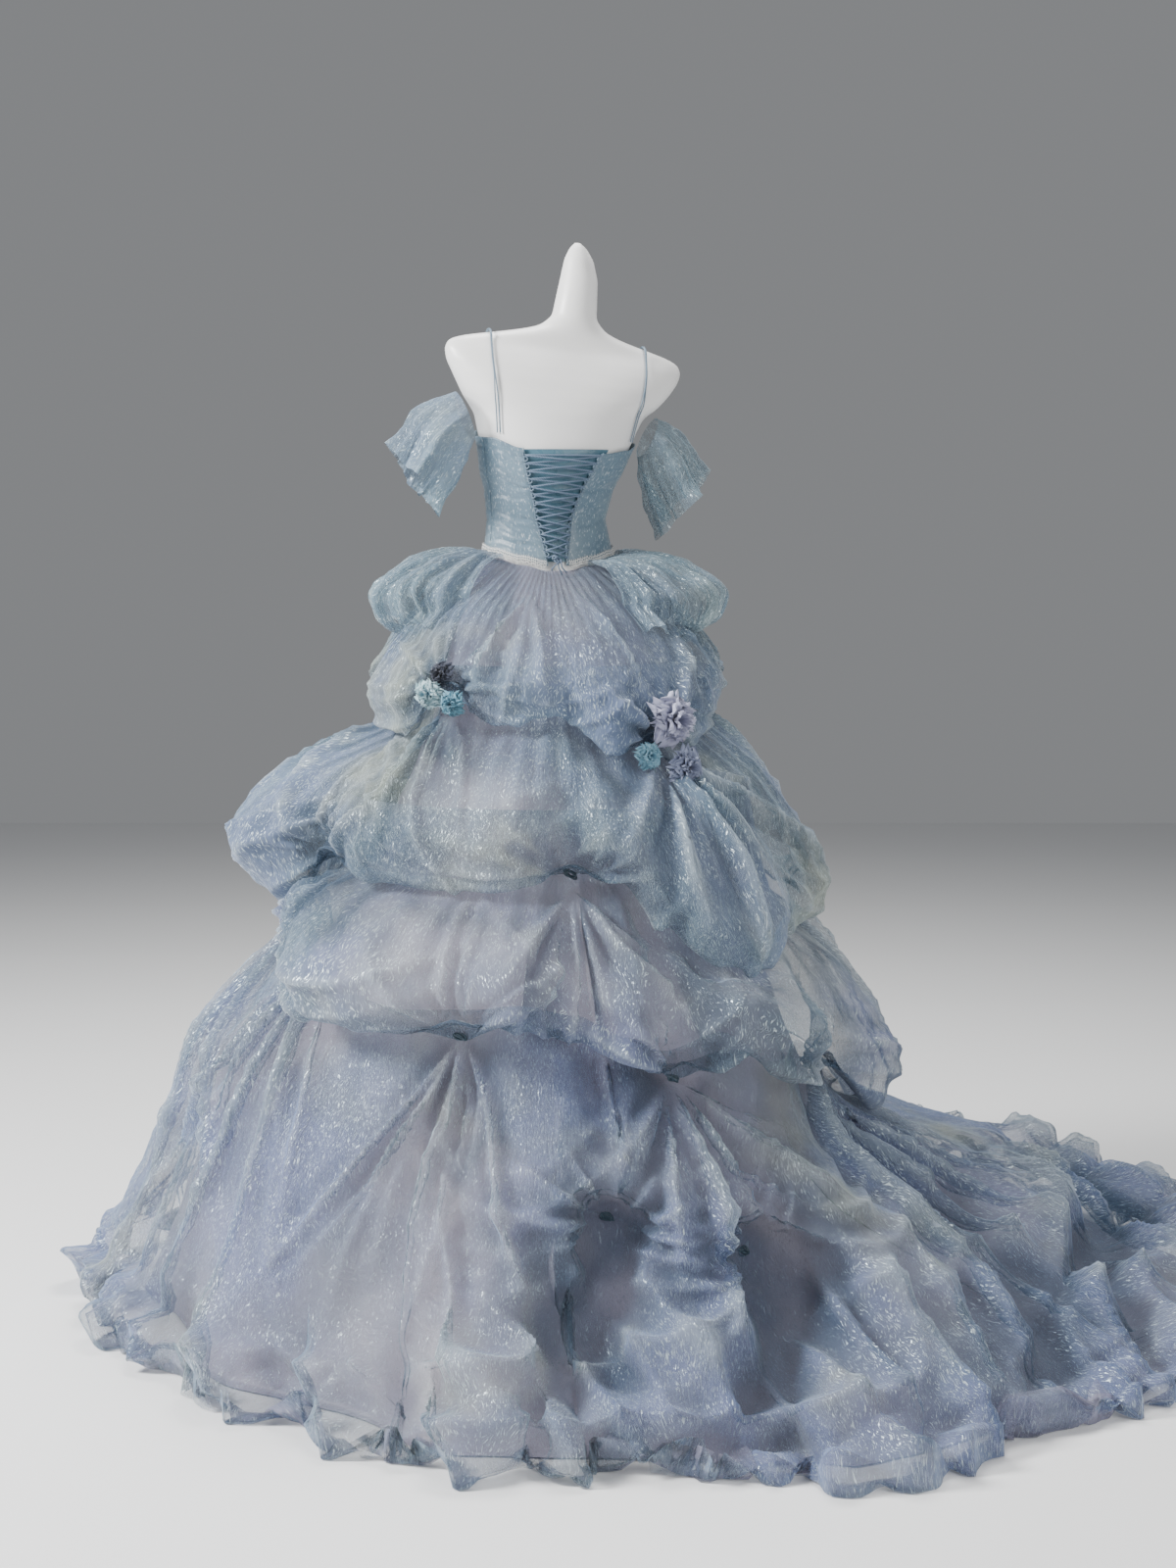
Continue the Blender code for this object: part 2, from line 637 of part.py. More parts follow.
def strap_place(point, facing):
    """Place of a strap on the back (1) or front (-1) of the form."""
    row = table_at(FORM_SECTIONS, "height", point.height)
    share = min(abs(point.across) / (row.half_width + STRAP_OFFSET), 0.999)
    depth = row.back_depth if facing > 0 else row.front_depth
    power = row.squareness
    y = (depth + STRAP_OFFSET + 0.001) * (1 - share**power) ** (1 / power)
    roll = smooth((point.height - ROLL_START) / (ROLL_FULL - ROLL_START)) * SHOULDER_ROLL
    return Vector((row.centre_x + point.across, -facing * y, point.height - roll * point.across))


def build_sleeves():
    """Two open, softly waved sleeves that hang from the sides of the bodice."""
    for word, rings in (("left", LEFT_SLEEVE), ("right", RIGHT_SLEEVE)):
        grid = []
        for ring in rings:
            line = []
            for column in range(SLEEVE_COLUMNS):
                angle = 2 * math.pi * column / SLEEVE_COLUMNS
                wave = 1 + ring.wave / ring.half_depth * 2 * math.cos(SLEEVE_WAVES * angle + 0.6)
                along = math.cos(angle) * wave
                x = ring.x + ring.across_x * along
                z = ring.z + ring.across_z * along
                line.append(Vector((x, ring.half_depth * math.sin(angle) * wave, z)))
            grid.append(line)
        cloth("sleeve_" + word, grid, True, PALE_BLUE, 0.4, FINE_WALL, FORM_YAW)


def waist_ring(turn, offset):
    """Point of a skirt's top ring just under the bodice's lower edge."""
    own_turn = turn - math.degrees(FORM_YAW)
    height = round_table_at(BODICE_EDGES, own_turn).bottom - SEAM_DROP
    point = form_point(height, own_turn, offset)
    cosine, sine = math.cos(FORM_YAW), math.sin(FORM_YAW)
    return Vector((point.x * cosine - point.y * sine, point.x * sine + point.y * cosine, point.z))


def tier_column(station, top, above, count):
    """Column of a caught-up tier: top, under the edge above it, belly, and its tucked edge."""
    start = (math.hypot(top.x, top.y), top.z)
    controls = [start]
    if above:
        start = (above.hem_r - NECK_IN, above.hem_z + NECK_RISE)
        controls.append(start)
    controls += [
        (mix(start[0], station.belly_r, SHOULDER_SHARES[0]), mix(start[1], station.belly_z, SHOULDER_SHARES[1])),
        (station.belly_r, station.belly_z),
        (
            mix(station.hem_r, station.belly_r, UNDERSIDE_SHARES[0]),
            mix(station.belly_z, station.hem_z, UNDERSIDE_SHARES[1]),
        ),
        (station.hem_r, station.hem_z),
        (station.hem_r - TUCK_IN, station.hem_z + TUCK_UP),
    ]
    return [curve_through(controls, row / (count - 1)) for row in range(count)]


def column_radius(column, height):
    """Largest radius of a column at a height."""
    found = 0.0
    for (first_r, first_z), (next_r, next_z) in zip(column, column[1:]):
        low, high = sorted((first_z, next_z))
        if low <= height <= high and high > low:
            found = max(found, mix(first_r, next_r, (height - first_z) / (next_z - first_z)))
    return found


def fold_wave(turn, waves, row_share, phase):
    """Uneven soft wave round the skirt, from -1 to 1."""
    uneven = turn + 7 * math.sin(math.radians(2 * turn + 40)) + 4 * math.sin(math.radians(5 * turn + 10))
    return math.cos(math.radians(waves * uneven) + phase + 0.7 * row_share)


def caught_tier(name, table, above, columns, rows, waves, depth, top_of, colour):
    """A full ring of caught-up cloth."""
    grid = [[] for _ in range(rows)]
    for column in range(columns):
        turn = 360 * column / columns - 180
        station = round_table_at(table, turn)
        line = tier_column(station, top_of(turn), above and round_table_at(above, turn), rows)
        for row, (radius, height) in enumerate(line):
            share = row / (rows - 1)
            rise = smooth((share - 0.22) * 3) if above else smooth(share * 2.5)
            swell = depth * rise * (1 - 0.6 * smooth((share - 0.75) * 4))
            grid[row].append(polar(turn, radius + swell * fold_wave(turn, waves, share, 0.4), height))
        grid[0][-1] = top_of(turn)
    return cloth(name, grid, True, colour)


def tacked(turn, height):
    """How far the tacks move the hem overskirt at a place."""
    moved = 0.0
    for tack in HEM_TACKS:
        across = (turn - tack.turn) / tack.turn_spread
        down = (height - tack.height) / tack.height_spread
        moved += tack.depth * math.exp(-across * across - down * down)
    return moved


def hem_column(turn):
    """Column of the hem overskirt, even along its length: top, under the lower tier, then the fall."""
    fall = round_table_at(HEM_FALL, turn)
    above = round_table_at(LOWER_TIER, turn)
    over = tier_column(above, polar(turn, *LOWER_TOP), round_table_at(MIDDLE_TIER, turn), 15)
    neck = (above.hem_r - NECK_IN, above.hem_z + 0.004)
    top = min(HEM_TOP, neck[1] + HEM_TOP_RISE) if neck[1] > 0.62 else HEM_TOP
    limit = column_radius(over[:9], top) or neck[0] + HEM_TOP_IN
    start = (min(limit - HEM_TOP_IN, neck[0] - 0.006), top)
    line = [[mix(a, b, row / NECK_ROW) for a, b in zip(start, neck)] for row in range(NECK_ROW)]
    controls = [neck]
    for radius, height in zip(fall[1:], FALL_HEIGHTS):
        if height < above.hem_z - 0.045:
            controls.append((radius, height))
    lengths = [0.0]
    for (first_r, first_z), (next_r, next_z) in zip(controls, controls[1:]):
        lengths.append(lengths[-1] + math.hypot(next_r - first_r, next_z - first_z))
    below = HEM_ROWS - NECK_ROW
    for row in range(below):
        place = lengths[-1] * row / (below - 1)
        index = max(i for i in range(len(lengths) - 1) if lengths[i] <= place)
        share = (place - lengths[index]) / (lengths[index + 1] - lengths[index])
        line.append([mix(a, b, share) for a, b in zip(controls[index], controls[index + 1])])
    return line


def underskirt_column(turn):
    """Column of the underskirt: its upper rings, then inside the hem overskirt down to the floor."""
    line = [waist_ring(turn, UNDERSKIRT_TOP_OFFSET)]
    line += [polar(turn, ring.radius, ring.height) for ring in UNDERSKIRT_RINGS]
    outer = hem_column(turn)
    for row in range(1, HEM_ROWS):
        before = outer[row - 1]
        after = outer[min(row + 1, HEM_ROWS - 1)]
        length = math.hypot(after[0] - before[0], after[1] - before[1])
        gap = mix(*UNDERSKIRT_GAP, row / (HEM_ROWS - 1))
        radius = outer[row][0] + gap * (after[1] - before[1]) / length
        height = outer[row][1] - gap * (after[0] - before[0]) / length
        wave = UNDERSKIRT_WAVE * smooth((row - 3) / 3) * fold_wave(turn, 8, 0, 2.0)
        line.append(polar(turn, radius + wave, max(height, UNDERSKIRT_LIFT)))
    line[-1].z = UNDERSKIRT_LIFT
    return line


def build_skirts():
    """Underskirt, four overskirt tiers and the hip puffs."""
    caught_tier("overskirt_upper", UPPER_TIER, None, columns=56, rows=7, waves=18, depth=0.010,
                top_of=lambda turn: waist_ring(turn, OVERSKIRT_TOP_OFFSET), colour=STEEL_BLUE)
    caught_tier("overskirt_middle", MIDDLE_TIER, UPPER_TIER, columns=64, rows=9, waves=16, depth=0.014,
                top_of=lambda turn: polar(turn, *MIDDLE_TOP), colour=STEEL_BLUE)
    caught_tier("overskirt_lower", LOWER_TIER, MIDDLE_TIER, columns=64, rows=8, waves=16, depth=0.014,
                top_of=lambda turn: polar(turn, *LOWER_TOP), colour=DEEP_BLUE)

    grid = [[] for _ in range(HEM_ROWS + 1)]
    for column in range(HEM_COLUMNS):
        turn = 360 * column / HEM_COLUMNS - 180
        line = hem_column(turn)
        for row, (radius, height) in enumerate(line):
            share = row / (HEM_ROWS - 1)
            swell = HEM_BILLOW * smooth((share - 0.30) / 0.6) * (row > 0)
            billow = swell * fold_wave(turn, 26, share, 1.1) + tacked(turn, height)
            lift = 0.35 * swell * fold_wave(turn, 17, share, 0.2) if row < HEM_ROWS - 1 else 0.0
            grid[row].append(polar(turn, radius + billow, height + lift))
        foot = line[-1][0] - HEM_TUCK
        grid[-1].append(polar(turn, foot, FLOOR_LIFT))
    cloth("overskirt_hem", grid, True, STEEL_BLUE)

    for gore in UNDERSKIRT_GORES:
        columns = round(UNDERSKIRT_COLUMNS * (gore.end - gore.start) / 360) + 1
        lines = []
        for column in range(columns):
            turn = mix(gore.start + UNDERSKIRT_SEAM, gore.end - UNDERSKIRT_SEAM, column / (columns - 1))
            lines.append(underskirt_column(turn))
        cloth(gore.name, [list(row) for row in zip(*lines)], False, LILAC, 0.35)

    for side, word in ((-1, "left"), (1, "right")):
        grid = [[] for _ in PUFF_PROFILE]
        for column in range(PUFF_COLUMNS):
            across = column / (PUFF_COLUMNS - 1)
            turn = side * mix(38, 142, across)
            top = waist_ring(turn, PUFF_TOP_OFFSET)
            top_r = math.hypot(top.x, top.y)
            full = math.sin(math.pi * mix(0.12, 0.88, across)) ** 0.6
            inner = tier_column(round_table_at(UPPER_TIER, turn), waist_ring(turn, OVERSKIRT_TOP_OFFSET), None, 15)
            for row, place in enumerate(PUFF_PROFILE):
                wave = 1 + 0.05 * place.share * math.cos(2 * math.pi * PUFF_WAVES * across + row * 0.5)
                reach = PUFF_REACH * place.reach * full * wave
                if row == 0:
                    grid[row].append(top)
                    continue
                height = top.z + place.rise * mix(0.7, 1.0, full)
                radius = max(top_r + reach, column_radius(inner, height) + PUFF_CLEAR)
                grid[row].append(polar(turn, radius, height))
        if side < 0:
            grid = [list(reversed(line)) for line in grid]
        cloth("hip_puff_" + word, grid, False, PALE_BLUE)


def build_flowers():
    """Fabric flowers: cups with waved petal edges, facing out from the skirt."""
    for flower in FLOWERS:
        centre = Vector((flower.x, -math.sqrt(flower.depth**2 - flower.x**2), flower.z))
        out = Vector((centre.x, centre.y, 0)).normalized()
        side = Vector((-out.y, out.x, 0))
        up = Vector((0, 0, 1))
        rings = []
        for row in range(FLOWER_ROWS + 1):
            share = row / FLOWER_ROWS
            around = math.sin(math.pi * mix(0.07, 0.93, share))
            forward = -0.5 * math.cos(math.pi * share)
            ring = []
            for column in range(FLOWER_COLUMNS):
                angle = 2 * math.pi * column / FLOWER_COLUMNS
                petal = 1 + 0.16 * around * math.cos(PETALS * angle + share * 2)
                radius = flower.radius * around * petal
                offset = side * math.cos(angle) * radius + up * math.sin(angle) * radius
                ring.append(centre + offset + out * flower.radius * (forward + 0.5))
            rings.append(ring)
        solid_of_rings(flower.name, rings, flower.colour, 0.7)


for old in list(bpy.data.objects):
    bpy.data.objects.remove(old)
parts = bpy.data.collections.new("ball_gown")
bpy.context.scene.collection.children.link(parts)

build_form()
build_bodice()
build_straps()
build_sleeves()
build_skirts()
build_flowers()
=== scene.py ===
"""Ball gown on a limbless dress form: the cloth, lacing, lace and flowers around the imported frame."""

import logging
import math
from dataclasses import dataclass
from enum import Enum
from functools import cache
from typing import Any, NamedTuple

import bpy
import numpy as np
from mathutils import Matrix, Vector


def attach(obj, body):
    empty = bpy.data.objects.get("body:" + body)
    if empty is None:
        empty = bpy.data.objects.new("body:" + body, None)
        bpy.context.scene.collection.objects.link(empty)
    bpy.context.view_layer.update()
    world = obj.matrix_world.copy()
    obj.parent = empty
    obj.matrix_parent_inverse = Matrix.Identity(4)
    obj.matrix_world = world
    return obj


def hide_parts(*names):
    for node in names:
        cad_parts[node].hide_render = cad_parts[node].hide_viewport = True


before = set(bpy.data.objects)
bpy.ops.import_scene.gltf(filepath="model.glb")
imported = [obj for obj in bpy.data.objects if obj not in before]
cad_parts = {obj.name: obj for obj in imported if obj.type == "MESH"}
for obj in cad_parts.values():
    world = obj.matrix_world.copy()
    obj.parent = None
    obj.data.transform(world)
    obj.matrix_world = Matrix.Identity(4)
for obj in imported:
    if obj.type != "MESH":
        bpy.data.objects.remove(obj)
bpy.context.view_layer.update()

Array = np.ndarray
Piece = bpy.types.Object
Material = bpy.types.Material
Tree = bpy.types.NodeTree
Node = bpy.types.Node
Socket = bpy.types.NodeSocket
LOG = logging.getLogger("ball_gown")

CLOTH_MAP = "cloth"
DENSITY = "density"
SHADE = "shade"
FORM_YAW = math.radians(11)
SHOULDER_ROLL = 0.10
ROLL_START = 1.44
ROLL_FULL = 1.54
MIDDLE_TOP = (0.212, 1.075)
LOWER_TOP = (0.335, 0.860)
NECK_IN = 0.046
TUCK_IN = 0.022
TUCK_UP = 0.012
NECK_RISE = 0.006
HEM_TOP_RISE = 0.030
HEM_TUCK = 0.040
FLOOR_LIFT = 0.002
# How far out from the form each layer lies at the waist, and how far under the bodice's edge.
SATIN_LIE = 0.005
UNDERSKIRT_LIE = 0.0035
TULLE_LIE = 0.0078
PUFF_LIE = 0.0115
CORD_LIE = 0.0106
WAIST_DROP = 0.0085
# How fast the cloth thickens, and its painted shade deepens, from the crest of a fold into its valley, per
# metre.
TIER_SHADE = 34
HEM_SHADE = 30
PILE_SHADE = 13
PUFF_SHADE = 30
SLEEVE_SHADE = 45
PALE_DENSITY = 0.25
# Section of one soft fold: a ridge with a shallow trough on each side.
RIDGE_POWER = 1.4
TROUGH_DEPTH = 0.42
TROUGH_REACH = 0.45
FAN_GAIN = 1.8
SWAG_GAIN = 1.6


class Side(Enum):
    """Side of the gown as seen from behind."""

    LEFT = "left"
    RIGHT = "right"

    @property
    def sign(self) -> int:
        """Direction of the side along +X."""
        return -1 if self is Side.LEFT else 1


class Section(NamedTuple):
    """One horizontal section of the dress form."""

    height: float
    centre_x: float
    half_width: float
    back_depth: float
    front_depth: float
    squareness: float


class Edge(NamedTuple):
    """Upper and lower edge of the bodice at one turn round the form."""

    turn: float
    top: float
    bottom: float


class Station(NamedTuple):
    """Fullest place and lower edge of a caught-up tier at one turn."""

    turn: float
    belly_r: float
    belly_z: float
    hem_r: float
    hem_z: float


class Fall(NamedTuple):
    """Radius of the hem overskirt at its fixed heights, at one turn."""

    turn: float
    r1: float
    r2: float
    r3: float
    r4: float
    r5: float
    r6: float
    r7: float


class Fan(NamedTuple):
    """Folds that run out from a tack: their number, length, depth, and where they head from straight down."""

    turn: float
    height: float
    folds: int
    reach: float
    depth: float
    pinch: float
    aim: float
    spread: float


class Swag(NamedTuple):
    """Crescent folds that hang between two tacks."""

    turn: float
    half_width: float
    height: float
    sag: float
    spacing: float
    depth: float


class SleeveRing(NamedTuple):
    """One ring of a sleeve, in the form's own directions."""

    x: float
    z: float
    across_x: float
    across_z: float
    half_depth: float
    wave: float


class Puff(NamedTuple):
    """Reach and rise of a hip puff at one share of the way down."""

    share: float
    reach: float
    rise: float


class Flower(NamedTuple):
    """A fabric flower: its node, place, size, slot and colours."""

    name: str | None
    x: float
    z: float
    depth: float
    radius: float
    slot: str
    heart: tuple[float, float, float]
    rim: tuple[float, float, float]


class Tack(NamedTuple):
    """Place on the hem overskirt that is tacked in or stands out between tacks."""

    turn: float
    height: float
    depth: float
    turn_spread: float
    height_spread: float


FORM_SECTIONS = (
    Section(0.960, 0.000, 0.118, 0.085, 0.085, 2.0),
    Section(0.980, 0.000, 0.130, 0.097, 0.097, 2.0),
    Section(1.080, 0.000, 0.141, 0.108, 0.100, 2.0),
    Section(1.170, 0.000, 0.126, 0.095, 0.090, 2.0),
    Section(1.235, 0.000, 0.104, 0.078, 0.080, 2.0),
    Section(1.265, -0.001, 0.099, 0.073, 0.076, 2.0),
    Section(1.310, -0.004, 0.092, 0.070, 0.078, 2.0),
    Section(1.360, 0.001, 0.101, 0.078, 0.096, 2.0),
    Section(1.385, 0.005, 0.111, 0.083, 0.108, 2.1),
    Section(1.430, 0.013, 0.124, 0.088, 0.112, 2.2),
    Section(1.480, 0.018, 0.141, 0.088, 0.096, 2.2),
    Section(1.503, 0.020, 0.162, 0.083, 0.084, 2.3),
    Section(1.530, 0.022, 0.180, 0.072, 0.070, 2.4),
    Section(1.552, 0.024, 0.193, 0.060, 0.058, 2.4),
    Section(1.570, 0.026, 0.198, 0.048, 0.047, 2.4),
    Section(1.585, 0.027, 0.192, 0.037, 0.036, 2.3),
    Section(1.594, 0.029, 0.168, 0.034, 0.033, 2.2),
    Section(1.603, 0.032, 0.126, 0.034, 0.033, 2.1),
    Section(1.612, 0.036, 0.086, 0.034, 0.033, 2.0),
    Section(1.622, 0.041, 0.055, 0.034, 0.033, 2.0),
    Section(1.640, 0.044, 0.037, 0.034, 0.033, 2.0),
    Section(1.672, 0.048, 0.034, 0.032, 0.032, 2.0),
    Section(1.703, 0.052, 0.031, 0.030, 0.030, 2.0),
    Section(1.735, 0.052, 0.024, 0.023, 0.023, 2.0),
    Section(1.754, 0.051, 0.014, 0.014, 0.014, 2.0),
    Section(1.762, 0.050, 0.005, 0.005, 0.005, 2.0),
)
FORM_TABLE = np.array(FORM_SECTIONS)
BODICE_EDGES = (
    Edge(-180, 1.452, 1.236),
    Edge(-150, 1.474, 1.242),
    Edge(-120, 1.458, 1.253),
    Edge(-90, 1.446, 1.263),
    Edge(-60, 1.442, 1.255),
    Edge(-30, 1.424, 1.243),
    Edge(-8, 1.420, 1.234),
    Edge(8, 1.416, 1.234),
    Edge(30, 1.415, 1.242),
    Edge(60, 1.422, 1.252),
    Edge(90, 1.436, 1.260),
    Edge(120, 1.452, 1.252),
    Edge(150, 1.472, 1.242),
)
OPENING_HEIGHTS = (1.225, 1.250, 1.295, 1.335, 1.376, 1.430)
OPENING_HALF_WIDTHS = (0.0145, 0.0160, 0.0240, 0.0330, 0.0466, 0.0640)
UPPER_TIER = (
    Station(-180, 0.300, 1.060, 0.300, 0.975),
    Station(-150, 0.315, 1.050, 0.305, 0.960),
    Station(-120, 0.300, 1.060, 0.300, 0.975),
    Station(-90, 0.290, 1.068, 0.272, 1.004),
    Station(-62, 0.312, 1.045, 0.296, 0.970),
    Station(-45, 0.340, 1.045, 0.324, 0.962),
    Station(-29, 0.305, 1.085, 0.316, 1.036),
    Station(-14, 0.342, 1.060, 0.332, 0.985),
    Station(2, 0.345, 1.075, 0.330, 1.004),
    Station(18, 0.372, 1.020, 0.356, 0.942),
    Station(32, 0.330, 1.020, 0.342, 0.962),
    Station(48, 0.336, 1.035, 0.320, 0.955),
    Station(66, 0.305, 1.060, 0.290, 0.985),
    Station(90, 0.278, 1.090, 0.262, 1.030),
    Station(120, 0.305, 1.060, 0.292, 0.980),
    Station(150, 0.312, 1.055, 0.300, 0.968),
)
MIDDLE_TIER = (
    Station(-180, 0.430, 0.810, 0.400, 0.715),
    Station(-150, 0.455, 0.800, 0.415, 0.700),
    Station(-120, 0.490, 0.815, 0.435, 0.705),
    Station(-92, 0.516, 0.830, 0.446, 0.708),
    Station(-72, 0.522, 0.815, 0.455, 0.700),
    Station(-54, 0.432, 0.850, 0.425, 0.768),
    Station(-36, 0.462, 0.840, 0.430, 0.752),
    Station(-12, 0.458, 0.840, 0.430, 0.748),
    Station(5, 0.425, 0.850, 0.418, 0.762),
    Station(15, 0.480, 0.822, 0.440, 0.748),
    Station(22, 0.500, 0.760, 0.470, 0.690),
    Station(30, 0.552, 0.715, 0.520, 0.630),
    Station(40, 0.560, 0.700, 0.530, 0.618),
    Station(52, 0.492, 0.740, 0.468, 0.652),
    Station(70, 0.466, 0.745, 0.440, 0.662),
    Station(90, 0.446, 0.748, 0.420, 0.684),
    Station(120, 0.455, 0.775, 0.420, 0.695),
    Station(150, 0.440, 0.800, 0.405, 0.700),
)
LOWER_TIER = (
    Station(-180, 0.510, 0.560, 0.485, 0.470),
    Station(-150, 0.520, 0.570, 0.490, 0.480),
    Station(-120, 0.500, 0.620, 0.470, 0.545),
    Station(-92, 0.432, 0.700, 0.436, 0.655),
    Station(-72, 0.440, 0.700, 0.444, 0.650),
    Station(-55, 0.500, 0.700, 0.505, 0.600),
    Station(-38, 0.590, 0.640, 0.548, 0.552),
    Station(-25, 0.602, 0.625, 0.562, 0.540),
    Station(-13, 0.550, 0.620, 0.560, 0.545),
    Station(-4, 0.592, 0.632, 0.556, 0.552),
    Station(6, 0.508, 0.640, 0.520, 0.530),
    Station(14, 0.580, 0.585, 0.546, 0.500),
    Station(22, 0.532, 0.560, 0.540, 0.474),
    Station(31, 0.600, 0.590, 0.562, 0.500),
    Station(44, 0.618, 0.530, 0.565, 0.440),
    Station(58, 0.512, 0.520, 0.520, 0.448),
    Station(75, 0.585, 0.450, 0.545, 0.360),
    Station(92, 0.578, 0.405, 0.532, 0.322),
    Station(120, 0.560, 0.450, 0.525, 0.372),
    Station(150, 0.535, 0.510, 0.500, 0.430),
)
HEM_FALL = (
    Fall(-180, 0.430, 0.470, 0.580, 0.630, 0.680, 0.730, 0.755),
    Fall(-150, 0.432, 0.475, 0.590, 0.640, 0.690, 0.740, 0.765),
    Fall(-120, 0.440, 0.555, 0.610, 0.660, 0.705, 0.752, 0.780),
    Fall(-90, 0.508, 0.590, 0.642, 0.682, 0.722, 0.765, 0.790),
    Fall(-69, 0.500, 0.565, 0.610, 0.645, 0.680, 0.715, 0.735),
    Fall(-45, 0.455, 0.560, 0.615, 0.655, 0.695, 0.745, 0.780),
    Fall(-28, 0.440, 0.530, 0.600, 0.645, 0.690, 0.745, 0.775),
    Fall(-11, 0.440, 0.545, 0.615, 0.675, 0.735, 0.815, 0.862),
    Fall(3, 0.440, 0.530, 0.640, 0.690, 0.730, 0.815, 0.868),
    Fall(10, 0.440, 0.485, 0.630, 0.665, 0.720, 0.830, 0.885),
    Fall(20, 0.440, 0.480, 0.625, 0.700, 0.755, 0.870, 0.935),
    Fall(28, 0.440, 0.490, 0.620, 0.680, 0.750, 0.905, 0.985),
    Fall(38, 0.440, 0.490, 0.600, 0.710, 0.815, 0.935, 1.005),
    Fall(50, 0.440, 0.482, 0.560, 0.680, 0.830, 0.950, 1.025),
    Fall(64, 0.440, 0.478, 0.530, 0.670, 0.880, 1.050, 1.130),
    Fall(78, 0.440, 0.478, 0.512, 0.720, 0.970, 1.150, 1.225),
    Fall(92, 0.440, 0.478, 0.512, 0.780, 1.020, 1.175, 1.245),
    Fall(106, 0.440, 0.478, 0.512, 0.760, 0.990, 1.120, 1.185),
    Fall(122, 0.440, 0.478, 0.520, 0.650, 0.840, 0.970, 1.040),
    Fall(150, 0.435, 0.472, 0.545, 0.620, 0.700, 0.780, 0.830),
)
HEM_TACKS = (
    Tack(9, 0.285, -0.050, 6, 0.050),
    Tack(28, 0.225, -0.050, 6, 0.050),
    Tack(-3, 0.330, 0.030, 9, 0.070),
    Tack(18, 0.300, 0.035, 8, 0.070),
    Tack(40, 0.280, 0.035, 10, 0.070),
    Tack(-14, 0.440, -0.030, 5, 0.060),
    Tack(-28, 0.300, 0.020, 10, 0.120),
    Tack(58, 0.330, -0.030, 8, 0.060),
    Tack(-150, 0.300, -0.035, 8, 0.060),
    Tack(165, 0.260, -0.035, 8, 0.060),
)
FALL_HEIGHTS = (0.600, 0.470, 0.350, 0.250, 0.160, 0.080, 0.022)
PUFF_PROFILE = (
    Puff(0.00, 0.000, 0.000),
    Puff(0.10, 0.100, 0.012),
    Puff(0.35, 0.470, 0.004),
    Puff(0.60, 0.780, -0.020),
    Puff(0.80, 1.000, -0.052),
    Puff(0.92, 0.930, -0.094),
    Puff(1.00, 0.760, -0.106),
)
PUFF_REACH = 0.182
UNDERSKIRT_RINGS = ((0.160, 1.120), (0.205, 0.960), (0.280, 0.790))
LEFT_SLEEVE = (
    SleeveRing(-0.140, 1.478, 0.016, -0.040, 0.058, 0.000),
    SleeveRing(-0.164, 1.455, 0.026, -0.044, 0.060, 0.003),
    SleeveRing(-0.187, 1.428, 0.032, -0.046, 0.061, 0.006),
    SleeveRing(-0.205, 1.400, 0.030, -0.044, 0.058, 0.007),
    SleeveRing(-0.224, 1.372, 0.031, -0.043, 0.063, 0.010),
)
RIGHT_SLEEVE = (
    SleeveRing(0.168, 1.446, -0.014, -0.032, 0.055, 0.000),
    SleeveRing(0.184, 1.420, -0.024, -0.036, 0.058, 0.003),
    SleeveRing(0.201, 1.390, -0.030, -0.038, 0.059, 0.006),
    SleeveRing(0.216, 1.360, -0.031, -0.037, 0.056, 0.007),
    SleeveRing(0.230, 1.332, -0.032, -0.040, 0.060, 0.010),
)
LEFT_STRAP = (
    (-0.107, 1.449), (-0.112, 1.480), (-0.117, 1.504), (-0.121, 1.532), (-0.125, 1.560), (-0.127, 1.588),
)
RIGHT_STRAP = (
    (0.118, 1.436), (0.122, 1.480), (0.126, 1.504), (0.129, 1.532), (0.131, 1.560), (0.131, 1.588),
)
FLOWERS = (
    Flower("flower_left_dark", -0.160, 1.068, 0.316, 0.017, "flower_dark", (0.012, 0.014, 0.025),
           (0.050, 0.060, 0.095)),
    Flower("flower_left_pale", -0.178, 1.036, 0.329, 0.021, "flower_pale", (0.200, 0.380, 0.470),
           (0.480, 0.660, 0.710)),
    Flower(None, -0.142, 1.022, 0.340, 0.017, "flower_turquoise", (0.030, 0.110, 0.170),
           (0.120, 0.300, 0.400)),
    Flower("flower_right_lilac", 0.192, 0.998, 0.351, 0.034, "flower_lilac", (0.190, 0.200, 0.330),
           (0.440, 0.450, 0.600)),
    Flower("flower_right_turquoise", 0.158, 0.944, 0.354, 0.019, "flower_turquoise", (0.090, 0.270, 0.390),
           (0.300, 0.550, 0.680)),
    Flower("flower_right_grey", 0.214, 0.926, 0.376, 0.025, "flower_grey", (0.090, 0.110, 0.210),
           (0.280, 0.320, 0.460)),
)

# Petals, size and rise of each whorl of a flower, the outermost first.
WHORLS = ((8, 1.22, 0.12), (7, 1.00, 0.34), (6, 0.72, 0.58), (5, 0.42, 0.80))

